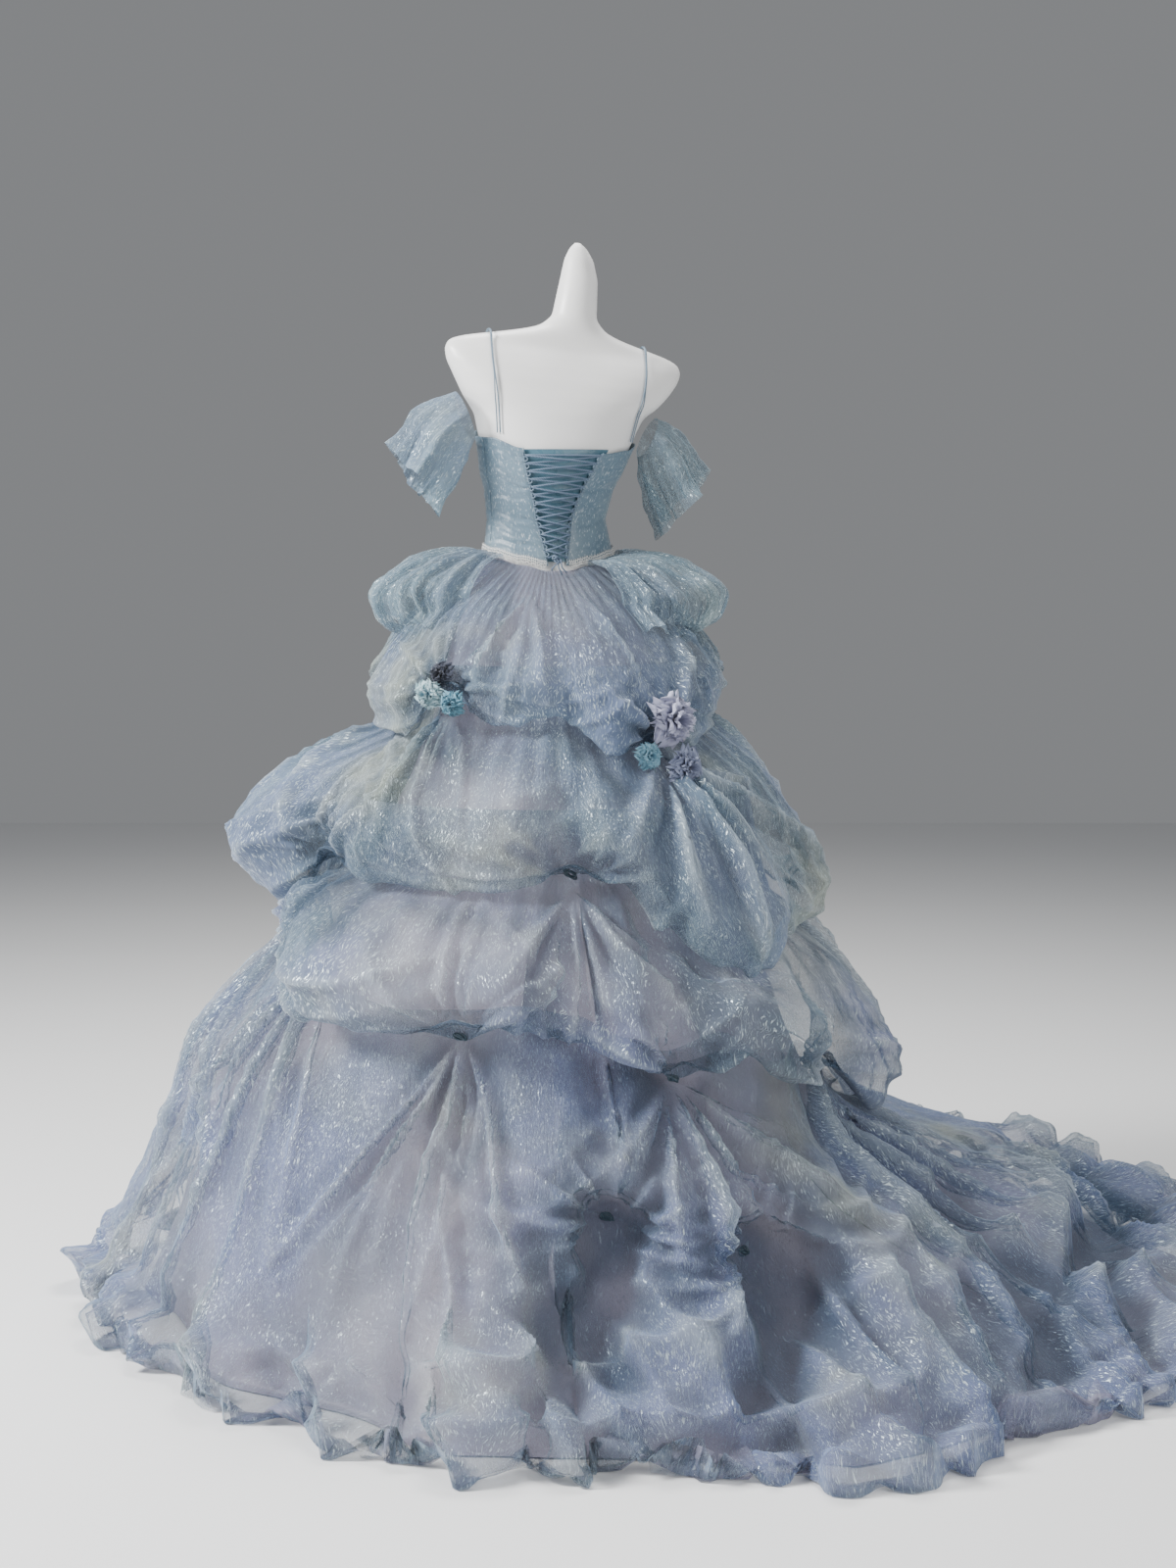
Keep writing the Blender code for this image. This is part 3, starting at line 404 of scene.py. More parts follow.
# Creases of each layer. The tacks seen in the photo come first, then those of the hidden side.
UPPER_FOLDS = (
    Fan(-29, 1.040, 9, 0.20, 0.013, 0.020, 180, 95),
    Fan(32, 0.965, 11, 0.26, 0.014, 0.020, 180, 90),
    Fan(-8, 1.190, 9, 0.26, 0.009, 0.000, 0, 45),
    Fan(60, 1.170, 7, 0.30, 0.010, 0.000, 0, 40),
    Fan(-90, 1.000, 9, 0.20, 0.008, 0.016, 180, 95),
    Fan(90, 1.025, 9, 0.20, 0.008, 0.016, 180, 95),
    Fan(-175, 0.985, 9, 0.20, 0.012, 0.014, 180, 95),
)
UPPER_SWAGS = (
    Swag(-58, 0.22, 1.045, 0.075, 0.040, 0.008),
    Swag(2, 0.17, 1.050, 0.070, 0.036, 0.008),
    Swag(60, 0.20, 1.035, 0.060, 0.040, 0.008),
    Swag(-130, 0.20, 1.040, 0.060, 0.040, 0.008),
    Swag(132, 0.22, 1.040, 0.060, 0.040, 0.008),
)
MIDDLE_FOLDS = (
    Fan(-29, 1.020, 11, 0.34, 0.014, 0.004, -20, 75),
    Fan(32, 0.945, 13, 0.44, 0.022, 0.004, 12, 60),
    Fan(-54, 0.768, 9, 0.24, 0.013, 0.022, 180, 85),
    Fan(6, 0.757, 9, 0.22, 0.013, 0.022, 180, 95),
    Fan(88, 0.690, 9, 0.24, 0.013, 0.016, 180, 95),
    Fan(-90, 0.980, 9, 0.26, 0.012, 0.004, 0, 70),
    Fan(-145, 0.710, 9, 0.24, 0.013, 0.018, 180, 95),
    Fan(150, 0.710, 9, 0.24, 0.013, 0.018, 180, 95),
    Fan(108, 1.020, 11, 0.34, 0.015, 0.000, 0, 60),
    Fan(-120, 1.000, 11, 0.34, 0.015, 0.000, 0, 60),
    Fan(178, 1.000, 11, 0.34, 0.015, 0.000, 0, 60),
)
MIDDLE_SWAGS = (
    Swag(-86, 0.24, 0.880, 0.120, 0.052, 0.010),
    Swag(-14, 0.25, 0.900, 0.120, 0.050, 0.011),
    Swag(72, 0.18, 0.800, 0.080, 0.046, 0.010),
    Swag(120, 0.24, 0.830, 0.090, 0.050, 0.010),
    Swag(-175, 0.24, 0.840, 0.090, 0.050, 0.010),
)
LOWER_FOLDS = (
    Fan(-54, 0.762, 9, 0.34, 0.015, 0.004, -15, 60),
    Fan(6, 0.752, 13, 0.34, 0.016, 0.006, 0, 48),
    Fan(-13.5, 0.545, 9, 0.24, 0.015, 0.022, 180, 95),
    Fan(21.7, 0.474, 9, 0.22, 0.016, 0.024, 180, 80),
    Fan(58.8, 0.448, 11, 0.28, 0.016, 0.024, 190, 95),
    Fan(-82, 0.658, 9, 0.22, 0.013, 0.018, 180, 90),
    Fan(-150, 0.490, 9, 0.24, 0.013, 0.018, 180, 95),
    Fan(140, 0.400, 9, 0.24, 0.013, 0.018, 180, 95),
    Fan(98, 0.690, 11, 0.36, 0.017, 0.000, 0, 58),
    Fan(-112, 0.710, 11, 0.34, 0.017, 0.000, 0, 58),
    Fan(178, 0.710, 11, 0.34, 0.017, 0.000, 0, 58),
)
LOWER_SWAGS = (
    Swag(-34, 0.28, 0.700, 0.120, 0.056, 0.011),
    Swag(14, 0.17, 0.630, 0.110, 0.042, 0.011),
    Swag(40, 0.22, 0.620, 0.120, 0.048, 0.012),
    Swag(80, 0.24, 0.500, 0.090, 0.050, 0.011),
    Swag(-120, 0.24, 0.640, 0.080, 0.050, 0.011),
    Swag(170, 0.24, 0.560, 0.080, 0.050, 0.011),
)
HEM_FANS = (
    Fan(-13.5, 0.545, 15, 0.66, 0.022, 0.008, -2, 36),
    Fan(21.7, 0.474, 13, 0.40, 0.025, 0.008, 5, 55),
    Fan(58.8, 0.448, 19, 0.95, 0.026, 0.008, 34, 62),
    Fan(9, 0.288, 9, 0.26, 0.018, 0.030, 180, 110),
    Fan(28, 0.228, 11, 0.30, 0.018, 0.030, 180, 115),
    Fan(-48, 0.700, 11, 0.85, 0.018, 0.000, -10, 34),
    Fan(-90, 0.700, 11, 0.80, 0.018, 0.000, 0, 40),
    Fan(-150, 0.300, 11, 0.30, 0.016, 0.024, 180, 110),
    Fan(165, 0.260, 11, 0.30, 0.016, 0.024, 180, 110),
    Fan(-170, 0.560, 11, 0.55, 0.014, 0.000, 0, 60),
)
HEM_SWAGS = (
    Swag(18, 0.18, 0.330, 0.090, 0.050, 0.013),
    Swag(-4, 0.20, 0.380, 0.110, 0.052, 0.013),
    Swag(46, 0.24, 0.330, 0.110, 0.056, 0.014),
    Swag(-170, 0.26, 0.320, 0.080, 0.056, 0.012),
)
# Tacks that show a small knot of thread: layer, turn and height.
KNOTS = (("middle", 6.0, 0.757), ("middle", -54.0, 0.768), ("lower", -13.5, 0.545), ("lower", 21.7, 0.474),
         ("lower", 58.8, 0.448), ("hem", 9.0, 0.288), ("hem", 28.0, 0.228))


@dataclass(frozen=True)
class Measure:
    """Tables of the gown read at any height or turn."""

    @staticmethod
    def round_table(rows: tuple, turns: Array) -> Array:
        """Read a table that goes once round, with soft steps between its rows.

        Args:
            rows: Rows whose first column is the turn in degrees, in rising order.
            turns: Turns in degrees.

        Returns:
            One line of values per turn, the turn's own column first.
        """
        table = np.array(rows, float)
        last = table[:1].copy()
        last[0, 0] += 360
        table = np.vstack([table, last])
        place = (np.asarray(turns, float) - table[0, 0]) % 360 + table[0, 0]
        low = np.clip(np.searchsorted(table[:, 0], place, side="right") - 1, 0, len(table) - 2)
        share = (place - table[low, 0]) / (table[low + 1, 0] - table[low, 0])
        share = share * share * (3 - 2 * share)
        return table[low] + (table[low + 1] - table[low]) * share[:, None]

    @staticmethod
    def form_points(heights: Array, turns: Array, offset: float | Array) -> Array:
        """Places on the form, moved out by an offset, with the shoulders' roll.

        Args:
            heights: Height of each place.
            turns: Turn of each place in degrees, 0 at the centre back.
            offset: How far out from the form.

        Returns:
            An array of places, in the form's own directions.
        """
        centre, half_width, back, front, square = (
            np.interp(heights, FORM_TABLE[:, 0], FORM_TABLE[:, k]) for k in range(1, 6)
        )
        sine, cosine = np.sin(np.radians(turns)), np.cos(np.radians(turns))
        power = 2 / square
        across = (half_width + offset) * np.sign(sine) * np.abs(sine) ** power
        depth = np.where(cosine > 0, back, front)
        y = -(depth + offset) * np.sign(cosine) * np.abs(cosine) ** power
        roll = soft_step((heights - ROLL_START) / (ROLL_FULL - ROLL_START)) * SHOULDER_ROLL
        return np.stack([centre + across, y, heights - roll * across], -1)

    @staticmethod
    def waist(turns: Array, offset: float, drop: float) -> Array:
        """Top ring of a skirt, just under the bodice's lower edge."""
        own = np.asarray(turns) - math.degrees(FORM_YAW)
        heights = Measure.round_table(BODICE_EDGES, own)[:, 2] - drop
        return yawed(Measure.form_points(heights, own, offset))

    @staticmethod
    def opening(heights: Array) -> Array:
        """Turn of the edge of the lacing's opening at each height."""
        half = np.interp(heights, OPENING_HEIGHTS, OPENING_HALF_WIDTHS)
        reach = np.interp(heights, FORM_TABLE[:, 0], FORM_TABLE[:, 2]) + SATIN_LIE
        return np.degrees(np.arcsin(half / reach))


def soft_step(share: Any) -> Any:
    """Soft step from 0 to 1."""
    share = np.clip(share, 0.0, 1.0)
    return share * share * (3 - 2 * share)


def yawed(points: Array) -> Array:
    """Places turned with the form about the upright axis."""
    cosine, sine = math.cos(FORM_YAW), math.sin(FORM_YAW)
    x, y = points[..., 0], points[..., 1]
    return np.stack([x * cosine - y * sine, x * sine + y * cosine, points[..., 2]], -1)


def turned_from(turns: Array, centre: float) -> Array:
    """Turns measured from another turn, from -180 to 180 degrees."""
    return (turns - centre + 180) % 360 - 180


def fold_section(aside: Array) -> Array:
    """Height across one fold, for distances from its crest in half widths."""
    return np.exp(-(aside**RIDGE_POWER)) - TROUGH_DEPTH * np.exp(-((TROUGH_REACH * aside) ** 2))


def polar(turns: Array, radius: Array, height: Array) -> Array:
    """Places at turns, radii and heights round the form's axis."""
    angle = np.radians(turns)
    radius, height = np.broadcast_arrays(radius, height)
    return np.stack([radius * np.sin(angle), -radius * np.cos(angle), height], -1)


def curve_rows(controls: Array, shares: Array) -> Array:
    """Smooth lines through control points, for all columns at once.

    Args:
        controls: Control points, one row of columns for each step along the line.
        shares: Places along the lines, from 0 to 1.

    Returns:
        One row of columns for each share.
    """
    spans = len(controls) - 1
    place = np.minimum(shares * spans, spans - 1e-9)
    index = place.astype(int)
    step = (place - index)[:, None, None]
    before = controls[np.maximum(index - 1, 0)]
    start, end = controls[index], controls[index + 1]
    after = controls[np.minimum(index + 2, spans)]
    return 0.5 * (
        2 * start
        + (end - before) * step
        + (2 * before - 5 * start + 4 * end - after) * step**2
        + (3 * start - before - 3 * end + after) * step**3
    )


def normals_of(grid: Array, ring: bool) -> Array:
    """Unit normals of a grid of places, outward when its columns go round with the turn.

    Args:
        grid: Places, rows by columns.
        ring: True if the columns close into a ring.

    Returns:
        One direction per place.
    """
    if ring:
        across = np.roll(grid, -1, 1) - np.roll(grid, 1, 1)
    else:
        across = np.gradient(grid, axis=1)
    down = np.gradient(grid, axis=0)
    normal = np.cross(down, across)
    return normal / np.maximum(np.linalg.norm(normal, axis=-1, keepdims=True), 1e-9)


def crumple(grid: Array, seed: int, wavelength: float, count: int = 14) -> Array:
    """Uneven crumpled height, from -1 to 1, of soft creases in seeded directions.

    Args:
        grid: Places of the cloth.
        seed: Seed of the directions.
        wavelength: Usual width of a crease in metres.
        count: Number of wave sets that are added up.

    Returns:
        One height per place.
    """
    source = np.random.default_rng(seed)
    total = np.zeros(grid.shape[:-1])
    for _ in range(count):
        direction = source.normal(size=3)
        direction *= 2 * math.pi / (wavelength * source.uniform(0.6, 1.8) * np.linalg.norm(direction))
        bend = source.normal(size=3) * 7
        phase = grid @ direction + 1.7 * np.sin(grid @ bend + source.uniform(0, 6)) + source.uniform(0, 6)
        total += 1 - 2 * np.abs(np.sin(phase)) ** 0.8
    return total / count * 2


def billows(grid: Array, seed: int, wavelength: float, count: int = 5) -> Array:
    """Rounded puffs with narrow creases between them, from 0 to 1.

    Args:
        grid: Places of the cloth.
        seed: Seed of the directions.
        wavelength: Usual width of a puff in metres.
        count: Number of crossing sets.

    Returns:
        One height per place.
    """
    source = np.random.default_rng(seed)
    total = np.zeros(grid.shape[:-1])
    bend = source.normal(size=(2, 3)) * 1.1 / wavelength
    warp = [0.9 * np.sin(grid @ bend[k] + source.uniform(0, 6)) for k in range(2)]
    for number in range(count):
        direction = source.normal(size=3)
        direction *= math.pi / (wavelength * source.uniform(0.7, 1.6) * np.linalg.norm(direction))
        wave = np.abs(np.sin(grid @ direction + warp[number % 2] + source.uniform(0, 6)))
        total += wave**0.7
    total = total / count
    return soft_step((total - 0.35) / 0.55)


class Cloth:
    """Builds meshes of cloth from grids of places."""

    @staticmethod
    def mesh(
        name: str, grid: Array, ring: bool, material: Material, density: Array | None = None,
        shade: Array | None = None,
    ) -> Piece:
        """Smooth sheet through a grid, with a map in metres for its weave.

        Args:
            name: Name of the piece.
            grid: Places, rows by columns.
            ring: True if the columns close into a ring.
            material: Finish of the piece.
            density: How thickly the cloth is gathered at each place, up to 1, if it varies.
            shade: How deep in a fold each place lies, painted as shade, or None for the same as the density.

        Returns:
            The piece.
        """
        rows, columns = grid.shape[:2]
        spans = columns if ring else columns - 1
        low = np.arange(rows - 1)[:, None] * columns
        here = np.arange(spans)[None, :]
        beside = (here + 1) % columns
        faces = np.stack(
            [low + here, low + columns + here, low + columns + beside, low + beside], -1
        ).reshape(-1, 4)
        data = bpy.data.meshes.new(name)
        data.from_pydata(grid.reshape(-1, 3).tolist(), [], faces.tolist())
        data.shade_smooth()
        down = np.linalg.norm(np.diff(grid, axis=0), axis=-1).mean(1)
        along = np.concatenate([[0], np.cumsum(down)])
        closed = np.concatenate([grid, grid[:, :1]], 1) if ring else grid
        steps = np.linalg.norm(np.diff(closed, axis=1), axis=-1).max(0)
        across = np.concatenate([[0], np.cumsum(steps)])
        u = np.stack([across[:-1], across[:-1], across[1:], across[1:]], -1)[None].repeat(rows - 1, 0)
        v = np.stack([along[:-1], along[1:], along[1:], along[:-1]], -1)[:, None].repeat(spans, 1)
        layer = data.uv_layers.new(name=CLOTH_MAP)
        layer.uv.foreach_set("vector", np.stack([u, v], -1).astype(np.float32).ravel())
        for label, field in ((DENSITY, density), (SHADE, density if shade is None else shade)):
            if field is not None:
                values = data.attributes.new(label, "FLOAT", "POINT")
                values.data.foreach_set("value", np.clip(field, -2, 1).astype(np.float32).ravel())
        item = bpy.data.objects.new(name, data)
        data.materials.append(material)
        bpy.context.scene.collection.objects.link(item)
        return item

    @staticmethod
    def joined(name: str, parts: list[Piece]) -> Piece:
        """One piece from several meshes.

        Args:
            name: Name of the piece.
            parts: The meshes.

        Returns:
            The piece.
        """
        with bpy.context.temp_override(
            active_object=parts[0], object=parts[0], selected_editable_objects=parts, selected_objects=parts
        ):
            bpy.ops.object.join()
        parts[0].name = name
        parts[0].data.name = name
        return parts[0]

    @staticmethod
    def thickened(item: Piece, wall: float) -> Piece:
        """Give a sheet a wall of its own, half on each side.

        Args:
            item: The sheet.
            wall: Thickness of its wall.

        Returns:
            The sheet.
        """
        solidify = item.modifiers.new("wall", "SOLIDIFY")
        solidify.thickness = wall
        solidify.offset = 0.0
        return item

    @staticmethod
    def area(item: Piece) -> float:
        """Area of a single sheet in square metres."""
        return sum(face.area for face in item.data.polygons)


class Graph:
    """Adds nodes to one tree and joins them in a line or two."""

    def __init__(self, tree: Tree) -> None:
        """Keep the tree that the nodes go into."""
        self.tree = tree
        self.column = 0

    def add(self, kind: str, inputs: dict | None = None, **settings: Any) -> Node:
        """Add a node.

        Args:
            kind: Blender's name of the node type, without its ShaderNode at the start.
            inputs: Values or sockets for its inputs, by name or number.
            **settings: Properties of the node.

        Returns:
            The node.
        """
        node = self.tree.nodes.new(f"ShaderNode{kind}")
        self.column += 1
        node.location = (self.column % 9 * 190, -self.column // 9 * 240)
        for name, value in settings.items():
            setattr(node, name, value)
        for key, value in (inputs or {}).items():
            if isinstance(value, Socket):
                self.tree.links.new(value, node.inputs[key])
            else:
                node.inputs[key].default_value = value
        return node

    def math(self, operation: str, first: Any, second: Any = 0.0, clamp: bool = False) -> Any:
        """Result socket of one sum on two values."""
        node = self.add("Math", {0: first, 1: second}, operation=operation, use_clamp=clamp)
        return node.outputs[0]

    def blend(self, share: Any, first: Any, second: Any) -> Any:
        """Colour between two colours."""
        node = self.add("Mix", {"Factor": share, 6: first, 7: second}, data_type="RGBA")
        return node.outputs[2]

    def fit(self, value: Any, low: float, high: float, to_low: Any = 0.0, to_high: Any = 1.0) -> Any:
        """Value moved softly from one range to another."""
        node = self.add(
            "MapRange",
            {"Value": value, "From Min": low, "From Max": high, "To Min": to_low, "To Max": to_high},
            interpolation_type="SMOOTHSTEP",
        )
        return node.outputs["Result"]


class Effects:
    """Node groups shared by the finishes, each built once."""

    @classmethod
    def _start(
        cls, name: str, inputs: dict[str, Any], outputs: dict[str, str]
    ) -> tuple[Tree, Graph, Any, Any]:
        """New group with named sockets.

        Args:
            name: Name of the group.
            inputs: Default value of each input; None stands for a place.
            outputs: Socket type of each output.

        Returns:
            The group, its graph, its input sockets and its output node.
        """
        tree = bpy.data.node_groups.new(name, "ShaderNodeTree")
        for label, value in inputs.items():
            if value is None:
                kind = "NodeSocketVector"
            else:
                kind = "NodeSocketColor" if isinstance(value, tuple) else "NodeSocketFloat"
            socket = tree.interface.new_socket(label, in_out="INPUT", socket_type=kind)
            if value is not None:
                socket.default_value = (*value, 1.0) if isinstance(value, tuple) else value
        for label, kind in outputs.items():
            tree.interface.new_socket(label, in_out="OUTPUT", socket_type=kind)
        graph = Graph(tree)
        entry = tree.nodes.new("NodeGroupInput")
        leave = tree.nodes.new("NodeGroupOutput")
        return tree, graph, entry.outputs, leave.inputs

    @classmethod
    @cache
    def threads(cls) -> Tree:
        """Short metallic threads that wander along the cloth: a mask and a height.

        Returns:
            The group.
        """
        inputs = {"Vector": None, "Across": 330.0, "Along": 46.0, "Wander": 0.022, "Amount": 0.5}
        outputs = {"Mask": "NodeSocketFloat", "Height": "NodeSocketFloat"}
        tree, graph, given, out = cls._start("metallic_threads", inputs, outputs)
        drift = graph.add("TexNoise", {"Vector": given["Vector"], "Scale": 24.0, "Detail": 2.0})
        centred = graph.add("VectorMath", {0: drift.outputs["Color"], 1: (0.5, 0.5, 0.5)},
                            operation="SUBTRACT")
        scaled = graph.add("VectorMath", {0: centred.outputs[0], "Scale": given["Wander"]},
                           operation="SCALE")
        moved = graph.add("VectorMath", {0: given["Vector"], 1: scaled.outputs[0]}, operation="ADD")
        sizes = graph.add("CombineXYZ", {"X": given["Across"], "Y": given["Along"], "Z": 1.0})
        lines = graph.add("VectorMath", {0: moved.outputs[0], 1: sizes.outputs[0]},
                          operation="MULTIPLY")
        noise = graph.add("TexNoise", {"Vector": lines.outputs[0], "Scale": 1.0, "Detail": 3.0,
                                       "Roughness": 0.62})
        gate = graph.add("TexNoise", {"Vector": given["Vector"], "Scale": 13.0, "Detail": 2.0})
        level = graph.math("SUBTRACT", 0.705, graph.math("MULTIPLY", given["Amount"], 0.20))
        level = graph.math("ADD", level, graph.math("MULTIPLY", gate.outputs["Fac"], -0.09))
        above = graph.math("SUBTRACT", noise.outputs["Fac"], level)
        mask = graph.math("MULTIPLY", above, 14.0, clamp=True)
        tree.links.new(mask, out["Mask"])
        tree.links.new(noise.outputs["Fac"], out["Height"])
        return tree

    @classmethod
    @cache
    def clouds(cls) -> Tree:
        """Soft large patches of three colours.

        Returns:
            The group.
        """
        inputs = {"Vector": None, "Scale": 3.0, "Base": (0.2, 0.3, 0.4), "Second": (0.3, 0.3, 0.5),
                  "Accent": (0.4, 0.45, 0.35), "Accent amount": 0.5}
        tree, graph, given, out = cls._start("colour_clouds", inputs, {"Color": "NodeSocketColor"})
        first = graph.add("TexNoise", {"Vector": given["Vector"], "Scale": given["Scale"],
                                       "Detail": 3.0, "Roughness": 0.55})
        shifted = graph.add("VectorMath", {0: given["Vector"], 1: (4.1, 7.3, 2.2)}, operation="ADD")
        second = graph.add("TexNoise", {"Vector": shifted.outputs[0], "Scale": given["Scale"],
                                        "Detail": 4.0, "Roughness": 0.6})
        colour = graph.blend(graph.fit(first.outputs["Fac"], 0.36, 0.66), given["Base"], given["Second"])
        accent = graph.math("MULTIPLY", graph.fit(second.outputs["Fac"], 0.50, 0.72), given["Accent amount"])
        colour = graph.blend(accent, colour, given["Accent"])
        tree.links.new(colour, out["Color"])
        return tree

    @classmethod
    @cache
    def wrinkles(cls) -> Tree:
        """Fine creases as a height, in two sizes.

        Returns:
            The group.
        """
        inputs = {"Vector": None, "Scale": 20.0, "Stretch": 2.0}
        tree, graph, given, out = cls._start("fine_wrinkles", inputs, {"Height": "NodeSocketFloat"})
        sizes = graph.add("CombineXYZ", {"X": given["Stretch"], "Y": 1.0, "Z": 1.0})
        place = graph.add("VectorMath", {0: given["Vector"], 1: sizes.outputs[0]}, operation="MULTIPLY")
        coarse = graph.add("TexNoise", {"Vector": place.outputs[0], "Scale": given["Scale"],
                                        "Detail": 4.0, "Roughness": 0.55, "Distortion": 0.9})
        ridge = graph.math("ABSOLUTE", graph.math("SUBTRACT", coarse.outputs["Fac"], 0.5))
        height = graph.math("SUBTRACT", 1.0, graph.math("MULTIPLY", ridge, 4.0, clamp=True))
        tree.links.new(height, out["Height"])
        return tree

    @classmethod
    @cache
    def weave(cls) -> Tree:
        """Crossing threads of a woven cloth as a height.

        Returns:
            The group.
        """
        inputs = {"Vector": None, "Threads": 900.0}
        tree, graph, given, out = cls._start("woven_threads", inputs, {"Height": "NodeSocketFloat"})
        place = graph.add("VectorMath", {0: given["Vector"], "Scale": given["Threads"]},
                          operation="SCALE")
        parts = graph.add("SeparateXYZ", {0: place.outputs[0]})
        warp = graph.math("SINE", parts.outputs["X"])
        weft = graph.math("SINE", parts.outputs["Y"])
        tree.links.new(graph.math("MAXIMUM", warp, weft), out["Height"])
        return tree

    @classmethod
    def use(cls, graph: Graph, group: Tree, **values: Any) -> Any:
        """Outputs of a group placed in a material, with its own values.

        Args:
            graph: Graph of the material.
            group: The node group.
            **values: Value or socket for each input.

        Returns:
            The group's outputs.
        """
        node = graph.add("Group", None)
        node.node_tree = group
        for label, value in values.items():
            socket = node.inputs[label.replace("_", " ")]
            if isinstance(value, Socket):
                graph.tree.links.new(value, socket)
            else:
                socket.default_value = (*value, 1.0) if isinstance(value, tuple) and len(value) == 3 and \
                    socket.type == "RGBA" else value
        return node.outputs


@dataclass(frozen=True)
class Finish:
    """What all finishes share: a name and the start of a material."""

    name: str

    def _material(self) -> tuple[Material, Graph, Node]:
        """New material with its shader, and a graph to add to it."""
        material = bpy.data.materials.new(self.name)
        material.use_nodes = True
        shader = material.node_tree.nodes["Principled BSDF"]
        return material, Graph(material.node_tree), shader

    @staticmethod
    def _wire(graph: Graph, shader: Node, values: dict[str, Any]) -> None:
        """Put values and sockets on the shader's own inputs.

        Args:
            graph: Graph of the material.
            shader: Its shader.
            values: Value or socket for each input.
        """
        for label, value in values.items():
            if isinstance(value, Socket):
                graph.tree.links.new(value, shader.inputs[label])
            else:
                shader.inputs[label].default_value = value

    @staticmethod
    def _bump(graph: Graph, height: Any, strength: float, distance: float, normal: Any = None) -> Any:
        """Normal socket of a bump.

        Args:
            graph: Graph of the material.
            height: Socket of the height.
            strength: Strength of the bump.
            distance: Height of the bump in metres.
            normal: Normal that it adds to, if any.

        Returns:
            Socket of the normal.
        """
        inputs = {"Height": height, "Strength": strength, "Distance": distance}
        if normal is not None:
            inputs["Normal"] = normal
        return graph.add("Bump", inputs).outputs["Normal"]


@dataclass(frozen=True)
class TulleFinish(Finish):
    """Sheer tulle with silvery threads, denser where it is seen edge on; painted shade in folds, painted
    highlight on crests.
    """

    base: tuple[float, float, float] = (0.125, 0.200, 0.250)
    second: tuple[float, float, float] = (0.140, 0.190, 0.310)
    # Accent: yellow-green patches at random places, partly a tone of the cloth and partly a painted sheen.
    accent: tuple[float, float, float] = (0.420, 0.450, 0.320)
    accent_amount: float = 0.60
    # Colour of the painted shade in fold valleys, near tacks and under lower edges.
    deep: tuple[float, float, float] = (0.036, 0.070, 0.122)
    glint: tuple[float, float, float] = (0.660, 0.770, 0.790)
    # Colour of the painted highlight on fold crests.
    painted_crest_highlight: tuple[float, float, float] = (0.400, 0.480, 0.540)
    thin: float = 0.38
    patchy: float = 0.30
    dense: float = 0.98
    threads: float = 0.50
    across: float = 420.0
    along: float = 88.0

    def make(self) -> Material:
        """Build the material.

        Returns:
            The material.
        """
        material, graph, shader = self._material()
        cloth = graph.add("UVMap", uv_map=CLOTH_MAP).outputs["UV"]
        own = graph.add("TexCoord").outputs["Object"]
        threads = Effects.use(graph, Effects.threads(), Vector=cloth, Across=self.across, Along=self.along,
                              Wander=0.040, Amount=self.threads)
        clouds = Effects.use(graph, Effects.clouds(), Vector=own, Scale=3.2, Base=self.base,
                             Second=self.second, Accent=self.accent, Accent_amount=self.accent_amount)
        wrinkles = Effects.use(graph, Effects.wrinkles(), Vector=cloth, Scale=17.0, Stretch=2.2)
        facing = graph.add("LayerWeight", {"Blend": 0.35}).outputs["Facing"]
        bunched = graph.add("Attribute", attribute_name=DENSITY).outputs["Fac"]
        shade = graph.add("Attribute", attribute_name=SHADE).outputs["Fac"]
        turned = graph.math("MULTIPLY", graph.fit(facing, 0.30, 0.95), graph.fit(bunched, -1.9, -1.0))
        edge = graph.math("MAXIMUM", turned, bunched)
        # Painted shade and painted highlight from the shade attribute; the threads are dimmed in the painted
        # shade.
        colour_with_painted_light = graph.blend(graph.math("MULTIPLY", graph.fit(shade, 0.02, 0.75), 0.92), clouds["Color"],
                             (*self.deep, 1.0))
        colour_with_painted_light = graph.blend(graph.fit(shade, -0.04, -0.55, 0.0, 0.55), colour_with_painted_light, (*self.painted_crest_highlight, 1.0))
        threads_dimmed_in_shade = graph.math("MULTIPLY", threads["Mask"], graph.fit(shade, -0.2, 0.8, 0.92, 0.22))
        colour = graph.blend(threads_dimmed_in_shade, colour_with_painted_light, (*self.glint, 1.0))
        patch = graph.add("TexNoise", {"Vector": own, "Scale": 3.4, "Detail": 3.0}).outputs["Fac"]
        least = graph.fit(patch, 0.42, 0.62, self.thin, self.thin + self.patchy)
        least = graph.math("MULTIPLY", least, graph.fit(bunched, -1.9, -1.0, 0.30, 1.0))
        sheer = graph.math("ADD", graph.fit(edge, 0.0, 1.0, least, self.dense),
                           graph.math("MULTIPLY", threads["Mask"], 0.25), clamp=True)
        rough = graph.fit(threads["Mask"], 0.0, 1.0, 0.72, 0.32)
        metal = graph.math("MULTIPLY", threads["Mask"], 0.55)
        normal = self._bump(graph, wrinkles["Height"], 0.55, 0.004)
        normal = self._bump(graph, threads["Height"], 0.40, 0.0010, normal)
        self._wire(graph, shader, {
            "Base Color": colour,
            "Alpha": sheer,
            "Roughness": rough,
            "Metallic": metal,
            "Normal": normal,
            "Specular IOR Level": 0.22,
            "Sheen Weight": 0.18,
            "Sheen Roughness": 0.5,
        })
        return material


